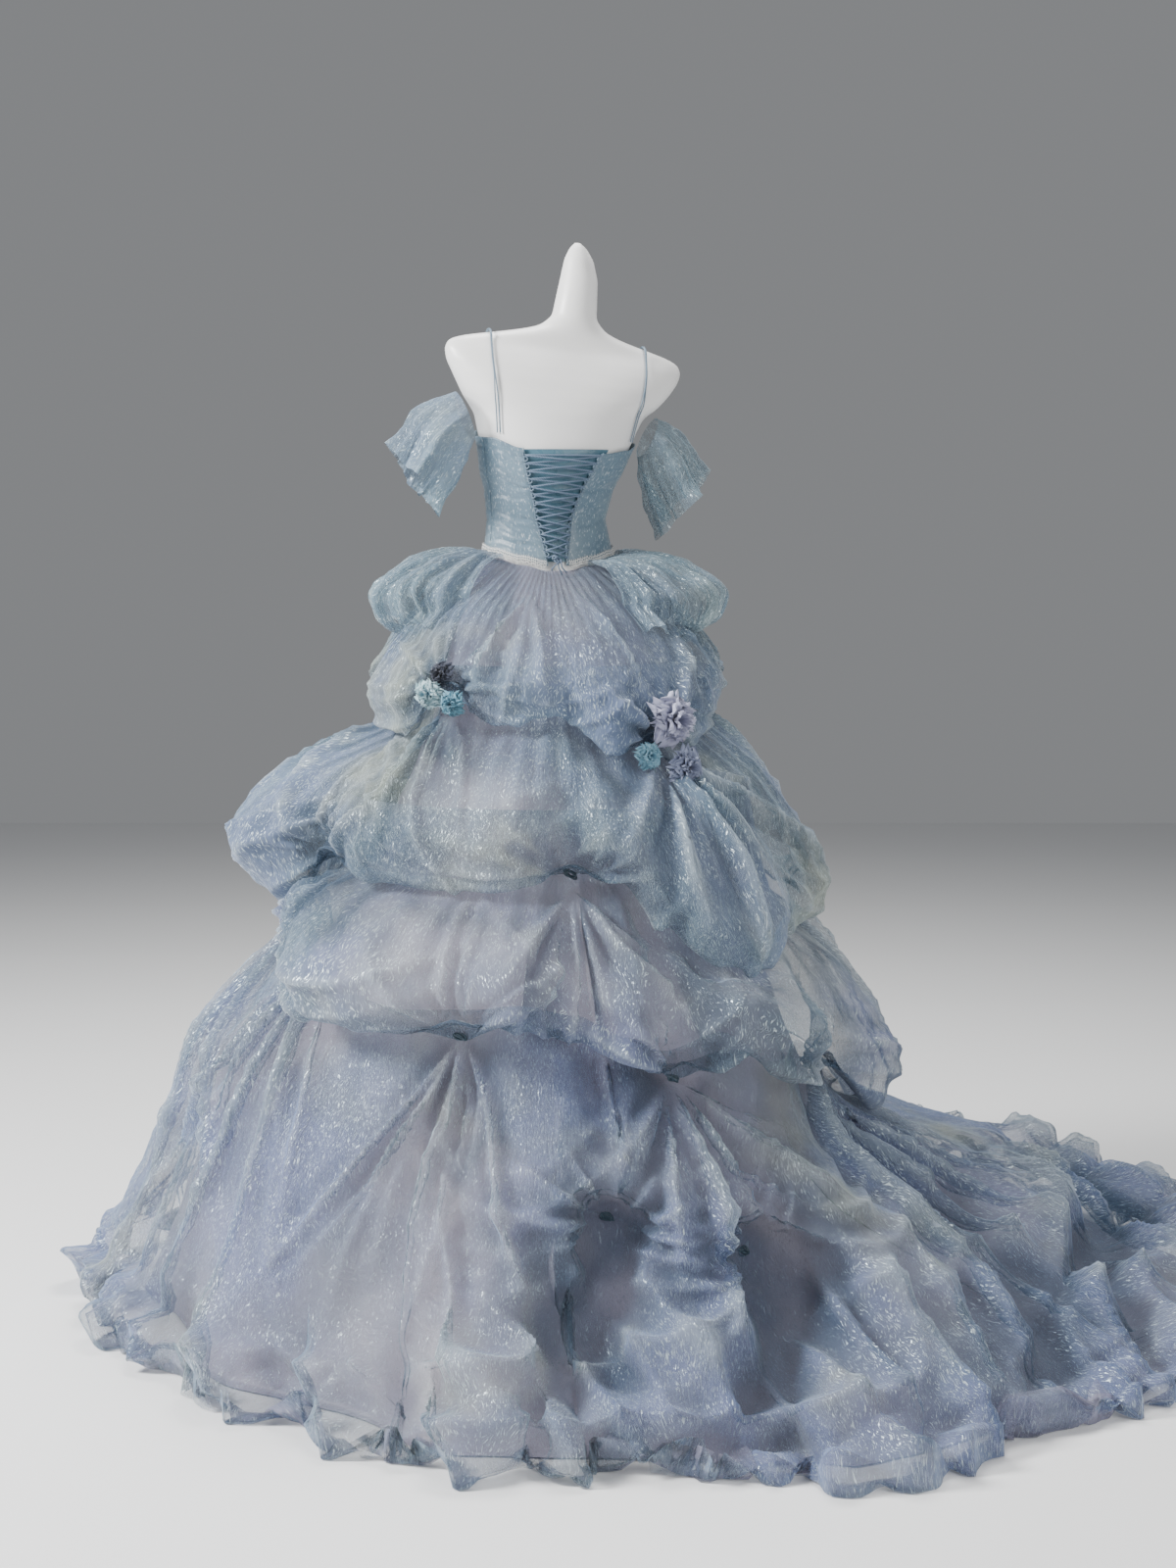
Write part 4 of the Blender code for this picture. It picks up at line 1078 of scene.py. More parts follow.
@dataclass(frozen=True)
class SatinFinish(Finish):
    """Woven satin with soft streaks of wear and a smooth sheen."""

    base: tuple[float, float, float]
    second: tuple[float, float, float]
    accent: tuple[float, float, float]
    accent_amount: float = 0.2
    roughness: float = 0.38
    crease: float = 0.25
    glitter: float = 0.0

    def make(self) -> Material:
        """Build the material.

        Returns:
            The material.
        """
        material, graph, shader = self._material()
        cloth = graph.add("UVMap", uv_map=CLOTH_MAP).outputs["UV"]
        own = graph.add("TexCoord").outputs["Object"]
        clouds = Effects.use(graph, Effects.clouds(), Vector=own, Scale=5.0, Base=self.base,
                             Second=self.second, Accent=self.accent, Accent_amount=self.accent_amount)
        threads = Effects.use(graph, Effects.threads(), Vector=cloth, Across=330.0, Along=120.0,
                              Amount=self.glitter)
        wrinkles = Effects.use(graph, Effects.wrinkles(), Vector=cloth, Scale=26.0, Stretch=0.7)
        woven = Effects.use(graph, Effects.weave(), Vector=cloth, Threads=5200.0)
        shine = graph.math("MULTIPLY", threads["Mask"], min(1.0, self.glitter * 1.6))
        colour = graph.blend(shine, clouds["Color"], (0.62, 0.68, 0.72, 1.0))
        rough = graph.fit(wrinkles["Height"], 0.0, 1.0, self.roughness + 0.10, self.roughness - 0.04)
        normal = self._bump(graph, wrinkles["Height"], self.crease, 0.0020)
        normal = self._bump(graph, woven["Height"], 0.15, 0.0002, normal)
        self._wire(graph, shader, {
            "Base Color": colour,
            "Roughness": rough,
            "Normal": normal,
            "Sheen Weight": 0.15,
        })
        return material


@dataclass(frozen=True)
class LaceFinish(Finish):
    """Cotton lace: a raised pattern of rings on a net."""

    colour: tuple[float, float, float] = (0.80, 0.79, 0.75)

    def make(self) -> Material:
        """Build the material.

        Returns:
            The material.
        """
        material, graph, shader = self._material()
        cloth = graph.add("UVMap", uv_map=CLOTH_MAP).outputs["UV"]
        cells = graph.add("TexVoronoi", {"Vector": cloth, "Scale": 240.0, "Randomness": 0.35},
                          feature="DISTANCE_TO_EDGE")
        rings = graph.fit(cells.outputs["Distance"], 0.06, 0.22, 1.0, 0.0)
        clouds = Effects.use(graph, Effects.clouds(), Vector=cloth, Scale=30.0, Base=self.colour,
                             Second=(0.70, 0.70, 0.68), Accent=(0.62, 0.60, 0.56), Accent_amount=0.3)
        shade = graph.blend(rings, (0.50, 0.52, 0.53, 1.0), clouds["Color"])
        self._wire(graph, shader, {
            "Base Color": shade,
            "Alpha": graph.fit(rings, 0.0, 1.0, 0.20, 1.0),
            "Normal": self._bump(graph, rings, 0.7, 0.0008),
            "Roughness": 0.8,
        })
        return material


@dataclass(frozen=True)
class ShellFinish(Finish):
    """Smooth moulded surface with faint mottling and scuffs."""

    colour: tuple[float, float, float]
    roughness: float
    metallic: float = 0.0

    def make(self) -> Material:
        """Build the material.

        Returns:
            The material.
        """
        material, graph, shader = self._material()
        own = graph.add("TexCoord").outputs["Object"]
        darker = tuple(0.965 * value for value in self.colour)
        clouds = Effects.use(graph, Effects.clouds(), Vector=own, Scale=9.0, Base=self.colour, Second=darker,
                             Accent=darker, Accent_amount=0.4)
        fine = graph.add("TexNoise", {"Vector": own, "Scale": 240.0, "Detail": 2.0})
        scuffs = graph.add("TexNoise", {"Vector": own, "Scale": 14.0, "Detail": 5.0})
        rough = graph.fit(scuffs.outputs["Fac"], 0.35, 0.7, self.roughness, self.roughness + 0.14)
        self._wire(graph, shader, {
            "Base Color": clouds["Color"],
            "Roughness": rough,
            "Normal": self._bump(graph, fine.outputs["Fac"], 0.12, 0.0004),
            "Metallic": self.metallic,
        })
        return material


@dataclass(frozen=True)
class PetalFinish(Finish):
    """Thin petal cloth, darker at the heart and paler along its frayed edge."""

    heart: tuple[float, float, float]
    rim: tuple[float, float, float]

    def make(self) -> Material:
        """Build the material.

        Returns:
            The material.
        """
        material, graph, shader = self._material()
        cloth = graph.add("UVMap", uv_map=CLOTH_MAP).outputs["UV"]
        parts = graph.add("SeparateXYZ", {0: cloth})
        wrinkles = Effects.use(graph, Effects.wrinkles(), Vector=cloth, Scale=5.0, Stretch=3.0)
        noise = graph.add("TexNoise", {"Vector": cloth, "Scale": 9.0, "Detail": 3.0})
        place = graph.math("ADD", parts.outputs["Y"], graph.math("MULTIPLY", noise.outputs["Fac"], 0.25))
        colour = graph.blend(graph.fit(place, 0.25, 1.05), (*self.heart, 1.0), (*self.rim, 1.0))
        self._wire(graph, shader, {
            "Base Color": colour,
            "Normal": self._bump(graph, wrinkles["Height"], 0.5, 0.0016),
            "Roughness": 0.75,
            "Sheen Weight": 0.3,
        })
        return material


@dataclass(frozen=True)
class CordFinish(Finish):
    """Twisted satin cord, with painted shade in the grooves of its twist."""

    colour: tuple[float, float, float]

    def make(self) -> Material:
        """Build the material.

        Returns:
            The material.
        """
        material, graph, shader = self._material()
        own = graph.add("TexCoord").outputs["Object"]
        twist = graph.add("TexWave", {"Vector": own, "Scale": 160.0, "Distortion": 1.5},
                          bands_direction="DIAGONAL")
        # Painted shade: the grooves of the twist, low in its bump, get the darker colour.
        darker = tuple(0.62 * value for value in self.colour)
        colour = graph.blend(twist.outputs["Fac"], (*darker, 1.0), (*self.colour, 1.0))
        self._wire(graph, shader, {
            "Base Color": colour,
            "Normal": self._bump(graph, twist.outputs["Fac"], 0.5, 0.0005),
            "Roughness": 0.45,
        })
        return material


@dataclass(frozen=True)
class FloorFinish(Finish):
    """Plain pale floor with painted shade, greying gently with the distance from the gown as the light falls
    off.
    """

    colour: tuple[float, float, float]
    painted_far_shade: tuple[float, float, float] = (0.56, 0.565, 0.575)

    def make(self) -> Material:
        """Build the material.

        Returns:
            The material.
        """
        material, graph, shader = self._material()
        own = graph.add("TexCoord").outputs["Object"]
        noise = graph.add("TexNoise", {"Vector": own, "Scale": 0.7, "Detail": 2.0})
        away = graph.add("VectorMath", {0: own}, operation="LENGTH").outputs["Value"]
        darker = tuple(0.97 * value for value in self.colour)
        near = graph.blend(noise.outputs["Fac"], (*self.colour, 1.0), (*darker, 1.0))
        # Painted shade: the floor greys away from the gown, where the light falls off.
        colour = graph.blend(graph.fit(away, 1.6, 6.8), near, (*self.painted_far_shade, 1.0))
        self._wire(graph, shader, {"Base Color": colour, "Roughness": 0.7})
        return material


@dataclass
class Folds:
    """Creases of one layer: fans at its tacks, swags between them, and fine crumples."""

    fans: tuple[Fan, ...]
    swags: tuple[Swag, ...]
    crumple_depth: float
    crumple_width: float
    seed: int

    def heights(self, turns: Array, grid: Array) -> Array:
        """How far each place of the layer moves out.

        Args:
            turns: Turn of each column in degrees.
            grid: Places of the layer.

        Returns:
            One distance per place.
        """
        radius = np.hypot(grid[..., 0], grid[..., 1])
        height = grid[..., 2]
        total = self.crumple_depth * crumple(grid, self.seed, self.crumple_width)
        total += 0.35 * self.crumple_depth * crumple(grid, self.seed + 50, 0.35 * self.crumple_width)
        for number, fan in enumerate(self.fans):
            total += self._fan(fan, number, self._across(turns, fan.turn, radius), height)
        for swag in self.swags:
            total += self._swag(swag, self._across(turns, swag.turn, radius), height)
        return total

    def nearness(self, turns: Array, grid: Array) -> Array:
        """How close each place is to a tack, where the cloth is bunched, from 0 to 1.

        Args:
            turns: Turn of each column in degrees.
            grid: Places of the layer.

        Returns:
            One share per place.
        """
        radius = np.hypot(grid[..., 0], grid[..., 1])
        total = np.zeros(radius.shape)
        for fan in self.fans:
            distance = np.hypot(self._across(turns, fan.turn, radius), grid[..., 2] - fan.height)
            total = np.maximum(total, 0.6 * np.exp(-((distance / 0.085) ** 2)))
        return total

    @staticmethod
    def _across(turns: Array, centre: float, radius: Array) -> Array:
        """Distance round the skirt from a turn, in metres."""
        return np.radians(turned_from(turns, centre))[None, :] * radius

    @staticmethod
    def _fan(fan: Fan, number: int, across: Array, height: Array) -> Array:
        """Ridges that radiate from a tack, each with its own lean, curl, length and depth.

        Args:
            fan: The tack's folds.
            number: Place of the tack in its list.
            across: Distance of each place round the skirt from the tack.
            height: Height of each place.

        Returns:
            How far each place moves out.
        """
        down = fan.height - height
        distance = np.hypot(across, down)
        angle = np.arctan2(across, down)
        source = np.random.default_rng(300 + number)
        total = -fan.pinch * np.exp(-((distance / 0.045) ** 2))
        half = 0.0036 + 0.0145 * (1 - np.exp(-distance / 0.20))
        for fold in range(fan.folds):
            place = 2 * (fold + source.uniform(0.1, 0.9)) / fan.folds - 1
            lean = math.radians(fan.aim + fan.spread * place)
            reach = fan.reach * source.uniform(0.40, 1.15)
            curl = source.uniform(-0.45, 0.45)
            off = (angle - lean - curl * distance / fan.reach + math.pi) % (2 * math.pi) - math.pi
            width = half * source.uniform(0.6, 1.5)
            aside = np.where(np.abs(off) < 1.2, np.abs(off) * distance / width, 9.0)
            fade = soft_step(distance / 0.05) * (1 - soft_step((distance / reach - 0.40) / 0.60))
            total += FAN_GAIN * fan.depth * source.uniform(0.35, 1.15) * fold_section(aside) * fade
        return total

    @staticmethod
    def _swag(swag: Swag, across: Array, height: Array) -> Array:
        """Crescent ridges that hang between two tacks, unevenly spaced.

        Args:
            swag: The crescents.
            across: Distance of each place round the skirt from their middle.
            height: Height of each place.

        Returns:
            How far each place moves out.
        """
        share = across / swag.half_width
        line = height - swag.height + swag.sag * (1 - share**2)
        source = np.random.default_rng(int(abs(swag.turn)) + 400)
        total = np.zeros(height.shape)
        for crescent in range(5):
            level = (crescent - 2 + source.uniform(-0.3, 0.3)) * swag.spacing
            tilt = source.uniform(-0.4, 0.4) * swag.spacing
            width = swag.spacing * source.uniform(0.16, 0.34)
            middle = source.uniform(-0.3, 0.3)
            aside = np.abs((line - level - tilt * share) / width)
            window = soft_step((1.15 - np.abs(share - middle)) * 1.6)
            total += SWAG_GAIN * swag.depth * source.uniform(0.4, 1.1) * fold_section(aside) * window
        return total * np.exp(-((line / (2.9 * swag.spacing)) ** 2))


def uneven_wave(turns: Array, waves: float, shares: Array, phase: float) -> Array:
    """Uneven soft wave round the skirt, one row per share of the way down."""
    uneven = turns + 7 * np.sin(np.radians(2 * turns + 40)) + 4 * np.sin(np.radians(5 * turns + 10))
    return np.cos(np.radians(waves * uneven)[None, :] + phase + 0.7 * shares[:, None])


def tier_controls(station: Array, start: Array, above: Array | None) -> Array:
    """Control points, in radius and height, of a caught-up tier.

    Args:
        station: Fullest place and lower edge of each column.
        start: Radius and height of the top of each column.
        above: Stations of the tier above, or None for the first one.

    Returns:
        One row of columns for each control point.
    """
    belly_r, belly_z, hem_r, hem_z = station[:, 1:5].T
    controls = [start]
    if above is not None:
        start = np.stack([above[:, 3] - NECK_IN, above[:, 4] + NECK_RISE], -1)
        controls.append(start)
    shoulder = (start[:, 0] + (belly_r - start[:, 0]) * 0.56, start[:, 1] + (belly_z - start[:, 1]) * 0.42)
    underside = (hem_r + (belly_r - hem_r) * 0.55, belly_z + (hem_z - belly_z) * 0.72)
    for radius, height in (shoulder, (belly_r, belly_z), underside, (hem_r, hem_z),
                           (hem_r - TUCK_IN, hem_z + TUCK_UP)):
        controls.append(np.stack([radius, height], -1))
    return np.array(controls)


@dataclass
class CaughtTier:
    """A full ring of tulle, tacked up at its lower edge so that it puffs and swags."""

    name: str
    node: str
    table: tuple[Station, ...]
    above: tuple[Station, ...] | None
    top: tuple[float, float] | None
    waves: float
    wave_depth: float
    gathers: float
    folds: Folds
    columns: int = 520
    rows: int = 72
    flat: tuple[float, float] = (2.8, 0.5)
    pouf: float = 0.014
    gather_depth: float = 0.0030

    def places(self) -> tuple[Array, Array, Array]:
        """Places of the tier, how thickly it is gathered, and how much painted shade each one gets in its
        folds.
        """
        turns = np.linspace(-180, 180, self.columns, endpoint=False)
        shares = np.linspace(0, 1, self.rows)
        station = Measure.round_table(self.table, turns)
        if self.top is None:
            ring = Measure.waist(turns, TULLE_LIE, WAIST_DROP)
            start = np.stack([np.hypot(ring[:, 0], ring[:, 1]), ring[:, 2]], -1)
        else:
            start = np.tile(np.array(self.top), (self.columns, 1))
        above = None if self.above is None else Measure.round_table(self.above, turns)
        line = curve_rows(tier_controls(station, start, above), shares)
        rise = soft_step((shares - 0.22) * 3) if self.above else soft_step(shares * 2.5)
        swell = self.wave_depth * rise * (1 - 0.6 * soft_step((shares - 0.75) * 4))
        wave = swell[:, None] * uneven_wave(turns, self.waves, shares, 0.4)
        gather = uneven_wave(turns, self.gathers, 3 * shares, 1.3)
        fade = np.exp(-((shares - (0.0 if self.above is None else 0.25)) / 0.30) ** 2)
        wave += self.gather_depth * gather * (fade * soft_step(shares * 12))[:, None]
        grid = polar(turns, line[..., 0] + wave, line[..., 1])
        lift = self.folds.heights(turns, grid)
        puffs = billows(grid, self.folds.seed + 7, 0.26) - 0.6
        lift += self.pouf * puffs * soft_step((shares - 0.3) * 3)[:, None]
        lift *= soft_step(shares * (9 if self.above is None else 5))[:, None]
        lift *= (1 - 0.55 * soft_step((shares - 0.86) * 8))[:, None]
        limit = (0.030 * soft_step(shares * 9) + 0.002)[:, None]
        lift = np.clip(lift, -limit, limit)
        grid = grid + normals_of(grid, True) * lift[..., None]
        lip = soft_step((shares - 0.62) / 0.3)[:, None]
        near = self.folds.nearness(turns, grid)
        # Painted shade: darker in fold valleys, near tacks, in the gathers and along the lip; painted
        # highlight on crests. The valley term also thickens the cloth.
        valley = -TIER_SHADE * lift
        shade = 0.20 * lip + 0.26 * fade[:, None] * gather + 0.8 * near + valley
        bunch = 0.30 * fade[:, None] * (0.6 + 0.4 * gather)
        density = np.clip(0.30 + 0.38 * lip + bunch + near + valley, 0, 1)
        if self.top is None:
            grid[0] = ring
        else:
            density = density - 2.6 * (1 - soft_step((shares - 0.02) / 0.26))[:, None]
        return grid, density, shade

    def build(self, material: Material) -> Piece:
        """Make the tier and dress it.

        Args:
            material: Its finish.

        Returns:
            The piece.
        """
        grid, density, shade = self.places()
        item = Cloth.mesh(self.name, grid, True, material, density, shade)
        return Dressing.cloth(item, self.node, "tulle", self.flat)


class Dressing:
    """Hangs each piece under the root empty and hides the solid that it stands for."""

    @staticmethod
    def cloth(
        item: Piece, node: str | None, slot: str, flat: tuple[float, float],
        held: str = "gathered", rests_on: str = "form_torso"
    ) -> Piece:
        """Dress a sheet of cloth.

        Args:
            item: The sheet.
            node: Solid that it stands for, if any.
            slot: Material slot of its finish; not used.
            flat: Width and length that it was cut to.
            held: How the cloth is held; not used.
            rests_on: What it hangs from or lies on; not used.

        Returns:
            The sheet.
        """
        Dressing.fitting(item, node, slot)
        measured = Cloth.area(item)
        LOG.info("%s: %.3f m2 of cloth, cut %.2f x %.2f m", item.name, measured, *flat)
        return item

    @staticmethod
    def fitting(item: Piece, node: str | None, slot: str) -> Piece:
        """Dress a piece that isn't a sheet.

        Args:
            item: The piece.
            node: Solid that it stands for, if any.
            slot: Material slot of its finish; not used.

        Returns:
            The piece.
        """
        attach(item, "root")
        if node:
            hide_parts(node)
        return item


@dataclass
class HemTier:
    """The long lowest overskirt, which falls to the floor and spreads into the train."""

    folds: Folds
    name: str = "hem_tulle"
    node: str | None = "overskirt_hem"
    inset: float = 0.0
    gathered: float = 0.14
    columns: int = 720
    rows: int = 112
    flat: tuple[float, float] = (6.2, 1.1)

    def line(self, turn: float) -> Array:
        """Radius and height down one column, with the neck under the tier above it.

        Args:
            turn: Turn of the column in degrees.

        Returns:
            Rows of radius and height.
        """
        fall = Measure.round_table(HEM_FALL, np.array([turn]))[0]
        above = Measure.round_table(LOWER_TIER, np.array([turn]))[0]
        neck = (above[3] - NECK_IN, above[4] + 0.004)
        controls = [(neck[0] - 0.006, neck[1] + HEM_TOP_RISE), neck]
        for radius, height in zip(fall[2:], FALL_HEIGHTS[1:]):
            if height < above[4] - 0.045:
                controls.append((radius, height))
        points = np.array(controls)
        fine = curve_rows(points[:, None, :], np.linspace(0, 1, 160))[:, 0]
        along = np.concatenate([[0], np.cumsum(np.hypot(*np.diff(fine, axis=0).T))])
        place = np.linspace(0, along[-1], self.rows - 1)
        return np.stack([np.interp(place, along, fine[:, 0]), np.interp(place, along, fine[:, 1])], -1)

    def plain(self, turns: Array) -> Array:
        """Places of the hem tier without its creases.

        Args:
            turns: Turn of each column in degrees.

        Returns:
            Places, rows by columns.
        """
        line = np.stack([self.line(turn) for turn in turns], 1)
        foot = line[-1:].copy()
        foot[..., 0] -= HEM_TUCK
        foot[..., 1] = FLOOR_LIFT
        line = np.concatenate([line, foot])
        shares = np.linspace(0, 1, self.rows)
        swell = 0.016 * soft_step((shares - 0.30) / 0.6)[:, None]
        wave = swell * uneven_wave(turns, 26, shares, 1.1)
        for tack in HEM_TACKS:
            across = turned_from(turns, tack.turn)[None, :] / tack.turn_spread
            down = (line[..., 1] - tack.height) / tack.height_spread
            wave += tack.depth * np.exp(-(across**2) - down**2)
        lift = 0.35 * swell * uneven_wave(turns, 17, shares, 0.2)
        lift[-1] = 0
        return polar(turns, line[..., 0] + wave, line[..., 1] + lift)

    def places(self) -> tuple[Array, Array, Array]:
        """Places of the hem tier, how thickly it is gathered, and how much painted shade each one gets in its
        folds.
        """
        turns = np.linspace(-180, 180, self.columns, endpoint=False)
        shares = np.linspace(0, 1, self.rows)[:, None]
        grid = self.plain(turns)
        pile = 0.17 + 0.13 * soft_step((turns + 25) / 30) * soft_step((150 - turns) / 40)
        low = soft_step((pile - grid[..., 2]) / 0.15)
        lift = self.folds.heights(turns, grid) * (1 - 0.5 * low)
        large = billows(grid * (1, 1, 0.5), self.folds.seed, 0.17, 3)
        creases = crumple(grid, self.folds.seed + 1, 0.15, 3)
        edge = soft_step((shares - 0.80) / 0.14)
        ripples = billows(grid, self.folds.seed + 2, 0.070, 3)
        lift += low * (0.090 * (large - 0.50) + 0.026 * creases) + 0.024 * edge * (ripples - 0.5)
        deepest = 0.010 + 0.020 * soft_step((shares - 0.10) / 0.4) + 0.020 * low
        lift = np.clip(lift * soft_step(shares * 8), -deepest, 0.032 + 0.024 * low)
        grid = grid + normals_of(grid, True) * lift[..., None]
        if self.inset:
            inset = self.inset * soft_step(shares * 4) * (1 + 0.5 * crumple(grid, 5, 0.22))
            grid = grid - normals_of(grid, True) * inset[..., None]
        grid[..., 2] = np.maximum(grid[..., 2], FLOOR_LIFT + 0.003 * (1 - shares))
        near = self.folds.nearness(turns, grid)
        # Painted shade: darker in fold valleys, near tacks and in the low pile, lighter on the edge's ripples
        # as a painted highlight; the valley term also thickens the cloth.
        deep = -lift * (HEM_SHADE - PILE_SHADE * low) * (1 - 0.75 * edge)
        foot = soft_step((shares - 0.64) / 0.18)
        density = self.gathered + 0.20 * low + deep * (1 - 0.8 * foot) + near
        density = np.clip(density + 0.34 * foot + edge * (0.20 + 0.30 * (1 - ripples)), 0, 1)
        shade = (deep + 0.26 * low + 0.8 * near) * (1 - 0.55 * edge) + edge * 0.30 * (0.5 - ripples)
        return grid, density, shade

    def build(self, material: Material) -> Piece:
        """Make the hem tier and dress it.

        Args:
            material: Its finish.

        Returns:
            The piece.
        """
        grid, density, shade = self.places()
        item = Cloth.mesh(self.name, grid, True, material, density, shade)
        return Dressing.cloth(item, self.node, "tulle", self.flat)


@dataclass
class Underskirt:
    """Plain lilac satin skirt under the tulle, in three gores."""

    hem: HemTier
    gores: tuple[tuple[str, float, float], ...] = (
        ("left", -179.9, -60.1), ("back", -59.9, 59.9), ("right", 60.1, 179.9),
    )
    columns: int = 130

    def build(self, material: Material) -> None:
        """Make the gores and dress them.

        Args:
            material: Its finish.
        """
        for word, first, last in self.gores:
            item = Cloth.mesh(f"underskirt_{word}_gore", self.grid(first, last), False, material)
            Dressing.cloth(item, f"underskirt_{word}", "underskirt_satin", (1.9, 1.35))

    def grid(self, first: float, last: float) -> Array:
        """Places of one gore: upper rings from the waist, then inside the hem tier to the floor.

        Args:
            first: Turn of its first column in degrees.
            last: Turn of its last column.

        Returns:
            Places, rows by columns.
        """
        turns = np.linspace(first, last, self.columns)
        line = np.stack([self.hem.line(turn) for turn in turns], 1)[::2]
        outer = polar(turns, line[..., 0], line[..., 1])
        gap = np.repeat((0.034 + 0.071 * np.linspace(0, 1, len(outer)))[:, None], self.columns, 1)
        for tack in HEM_TACKS:
            away = turned_from(turns, tack.turn)[None, :] / (1.7 * tack.turn_spread)
            down = (line[..., 1] - tack.height) / (1.5 * tack.height_spread)
            gap -= min(0.0, 1.3 * tack.depth) * np.exp(-(away**2) - down**2)
        inner = outer - normals_of(outer, False) * gap[..., None]
        upper = [Measure.waist(turns, UNDERSKIRT_LIE, WAIST_DROP)]
        for radius, height in UNDERSKIRT_RINGS:
            upper.append(polar(turns, np.full(self.columns, radius), np.full(self.columns, height)))
        upper.append(inner[2])
        filled = curve_rows(np.array(upper), np.linspace(0, 1, 34))
        grid = np.concatenate([filled[:-1], inner[2:]])
        down = np.arange(len(grid))
        wave = 0.006 * crumple(grid, 31, 0.30) * soft_step(down / 12)[:, None]
        wave += 0.007 * uneven_wave(turns, 8, np.zeros(len(grid)), 2.0) * soft_step((down - 20) / 20)[:, None]
        grid = grid + normals_of(grid, False) * wave[..., None]
        grid[..., 2] = np.maximum(grid[..., 2], 0.003)
        return grid


@dataclass
class TackKnots:
    """Small knots of thread that hold the tulle up at its tacks."""

    size: float = 0.0085
    thread: float = 0.0016

    def build(self, layers: dict[str, Array], material: Material) -> Piece:
        """Make all knots as one mesh.

        Args:
            layers: Places of each layer by its name.
            material: Finish of the thread.

        Returns:
            The piece.
        """
        source = np.random.default_rng(8)
        parts = []
        for layer, turn, height in KNOTS:
            grid = layers[layer]
            turns = np.degrees(np.arctan2(grid[..., 0], -grid[..., 1]))
            radius = np.hypot(grid[..., 0], grid[..., 1])
            away = np.hypot(np.radians(turns - turn) * radius, grid[..., 2] - height) - 0.05 * radius
            centre = grid.reshape(-1, 3)[np.argmin(away)]
            out = np.array([centre[0], centre[1], 0.0]) / np.hypot(centre[0], centre[1])
            side, up = np.array([-out[1], out[0], 0.0]), np.array([0.0, 0.0, 1.0])
            for number in range(4):
                angle = np.linspace(0, 2 * math.pi, 11)
                tilt, size = source.uniform(0, math.pi), self.size * source.uniform(0.7, 1.2)
                first = size * np.cos(angle + tilt) + source.uniform(-0.002, 0.002)
                second = size * np.sin(angle) * source.uniform(0.4, 0.9)
                lift = 0.0020 + 0.0018 * np.sin(2 * angle + number)
                line = centre + first[:, None] * side + second[:, None] * up + lift[:, None] * out
                parts.append(Cord(self.thread, 6).mesh("turn", line, material, 2))
        return Dressing.fitting(Cloth.joined("tack_knots", parts), None, "lacing")


@dataclass
class HipPuff:
    """Gathered puff of tulle that stands out over one hip."""

    side: Side
    columns: int = 170
    rows: int = 44

    def build(self, material: Material) -> Piece:
        """Make the puff and dress it.

        Args:
            material: Its finish.

        Returns:
            The piece.
        """
        across = np.linspace(0, 1, self.columns)
        sign = self.side.sign
        turns = sign * (38 + 104 * across)
        top = Measure.waist(turns, PUFF_LIE, WAIST_DROP)
        full = np.sin(math.pi * (0.12 + 0.76 * across)) ** 0.6
        fine = curve_rows(np.array(PUFF_PROFILE)[:, None, :], np.linspace(0, 1, self.rows))[:, 0]
        shares = fine[:, 0]
        wave = 1 + 0.05 * shares[:, None] * np.cos(10 * math.pi * across[None] + 3 * shares[:, None])
        wave += 0.022 * np.sin(46 * math.pi * across + 5 * np.sin(7 * across))[None] * shares[:, None]
        reach = PUFF_REACH * fine[:, 1:2] * full[None] * wave
        height = top[None, :, 2] + fine[:, 2:3] * (0.7 + 0.3 * full)[None]
        inner = Measure.round_table(UPPER_TIER, turns)
        ring = Measure.waist(turns, TULLE_LIE, WAIST_DROP)
        start = np.stack([np.hypot(ring[:, 0], ring[:, 1]), ring[:, 2]], -1)
        line = curve_rows(tier_controls(inner, start, None), np.linspace(0, 1, 40))
        least = np.zeros_like(reach)
        for column in range(self.columns):
            order = np.argsort(line[:26, column, 1])
            least[:, column] = np.interp(height[:, column], line[order, column, 1], line[order, column, 0])
        droop = 0.5 + 0.5 * np.cos(2 * math.pi * 2.6 * across + 1.2 + self.side.sign)
        height = height - 0.026 * droop[None] * shares[:, None] ** 2
        radius = np.maximum(np.hypot(top[:, 0], top[:, 1])[None] + reach, least + 0.014)
        grid = polar(turns, radius, height)
        grid[0] = top
        if sign < 0:
            grid = grid[:, ::-1]
        pleat = np.cos(2 * math.pi * 9.5 * across + 2.2 * np.sin(9 * across + sign))[None]
        pleat = pleat + 0.6 * np.cos(2 * math.pi * 21 * across + 3 * np.sin(5 * across))[None]
        folds = 0.0058 * pleat * soft_step(shares * 1.6)[:, None] ** 0.7
        folds = folds + 0.005 * crumple(grid, 70 + sign, 0.11)
        folds = folds * soft_step(np.linspace(0, 6, self.rows))[:, None]
        grid = grid + normals_of(grid, False) * folds[..., None]
        # Painted shade in the valleys of the pleats and crumples, painted highlight on their crests.
        valley = -PUFF_SHADE * folds
        name = f"{self.side.value}_hip_tulle"
        item = Cloth.mesh(name, grid, False, material, PALE_DENSITY + valley, valley)
        return Dressing.cloth(item, f"hip_puff_{self.side.value}", "tulle_pale", (1.1, 0.34))


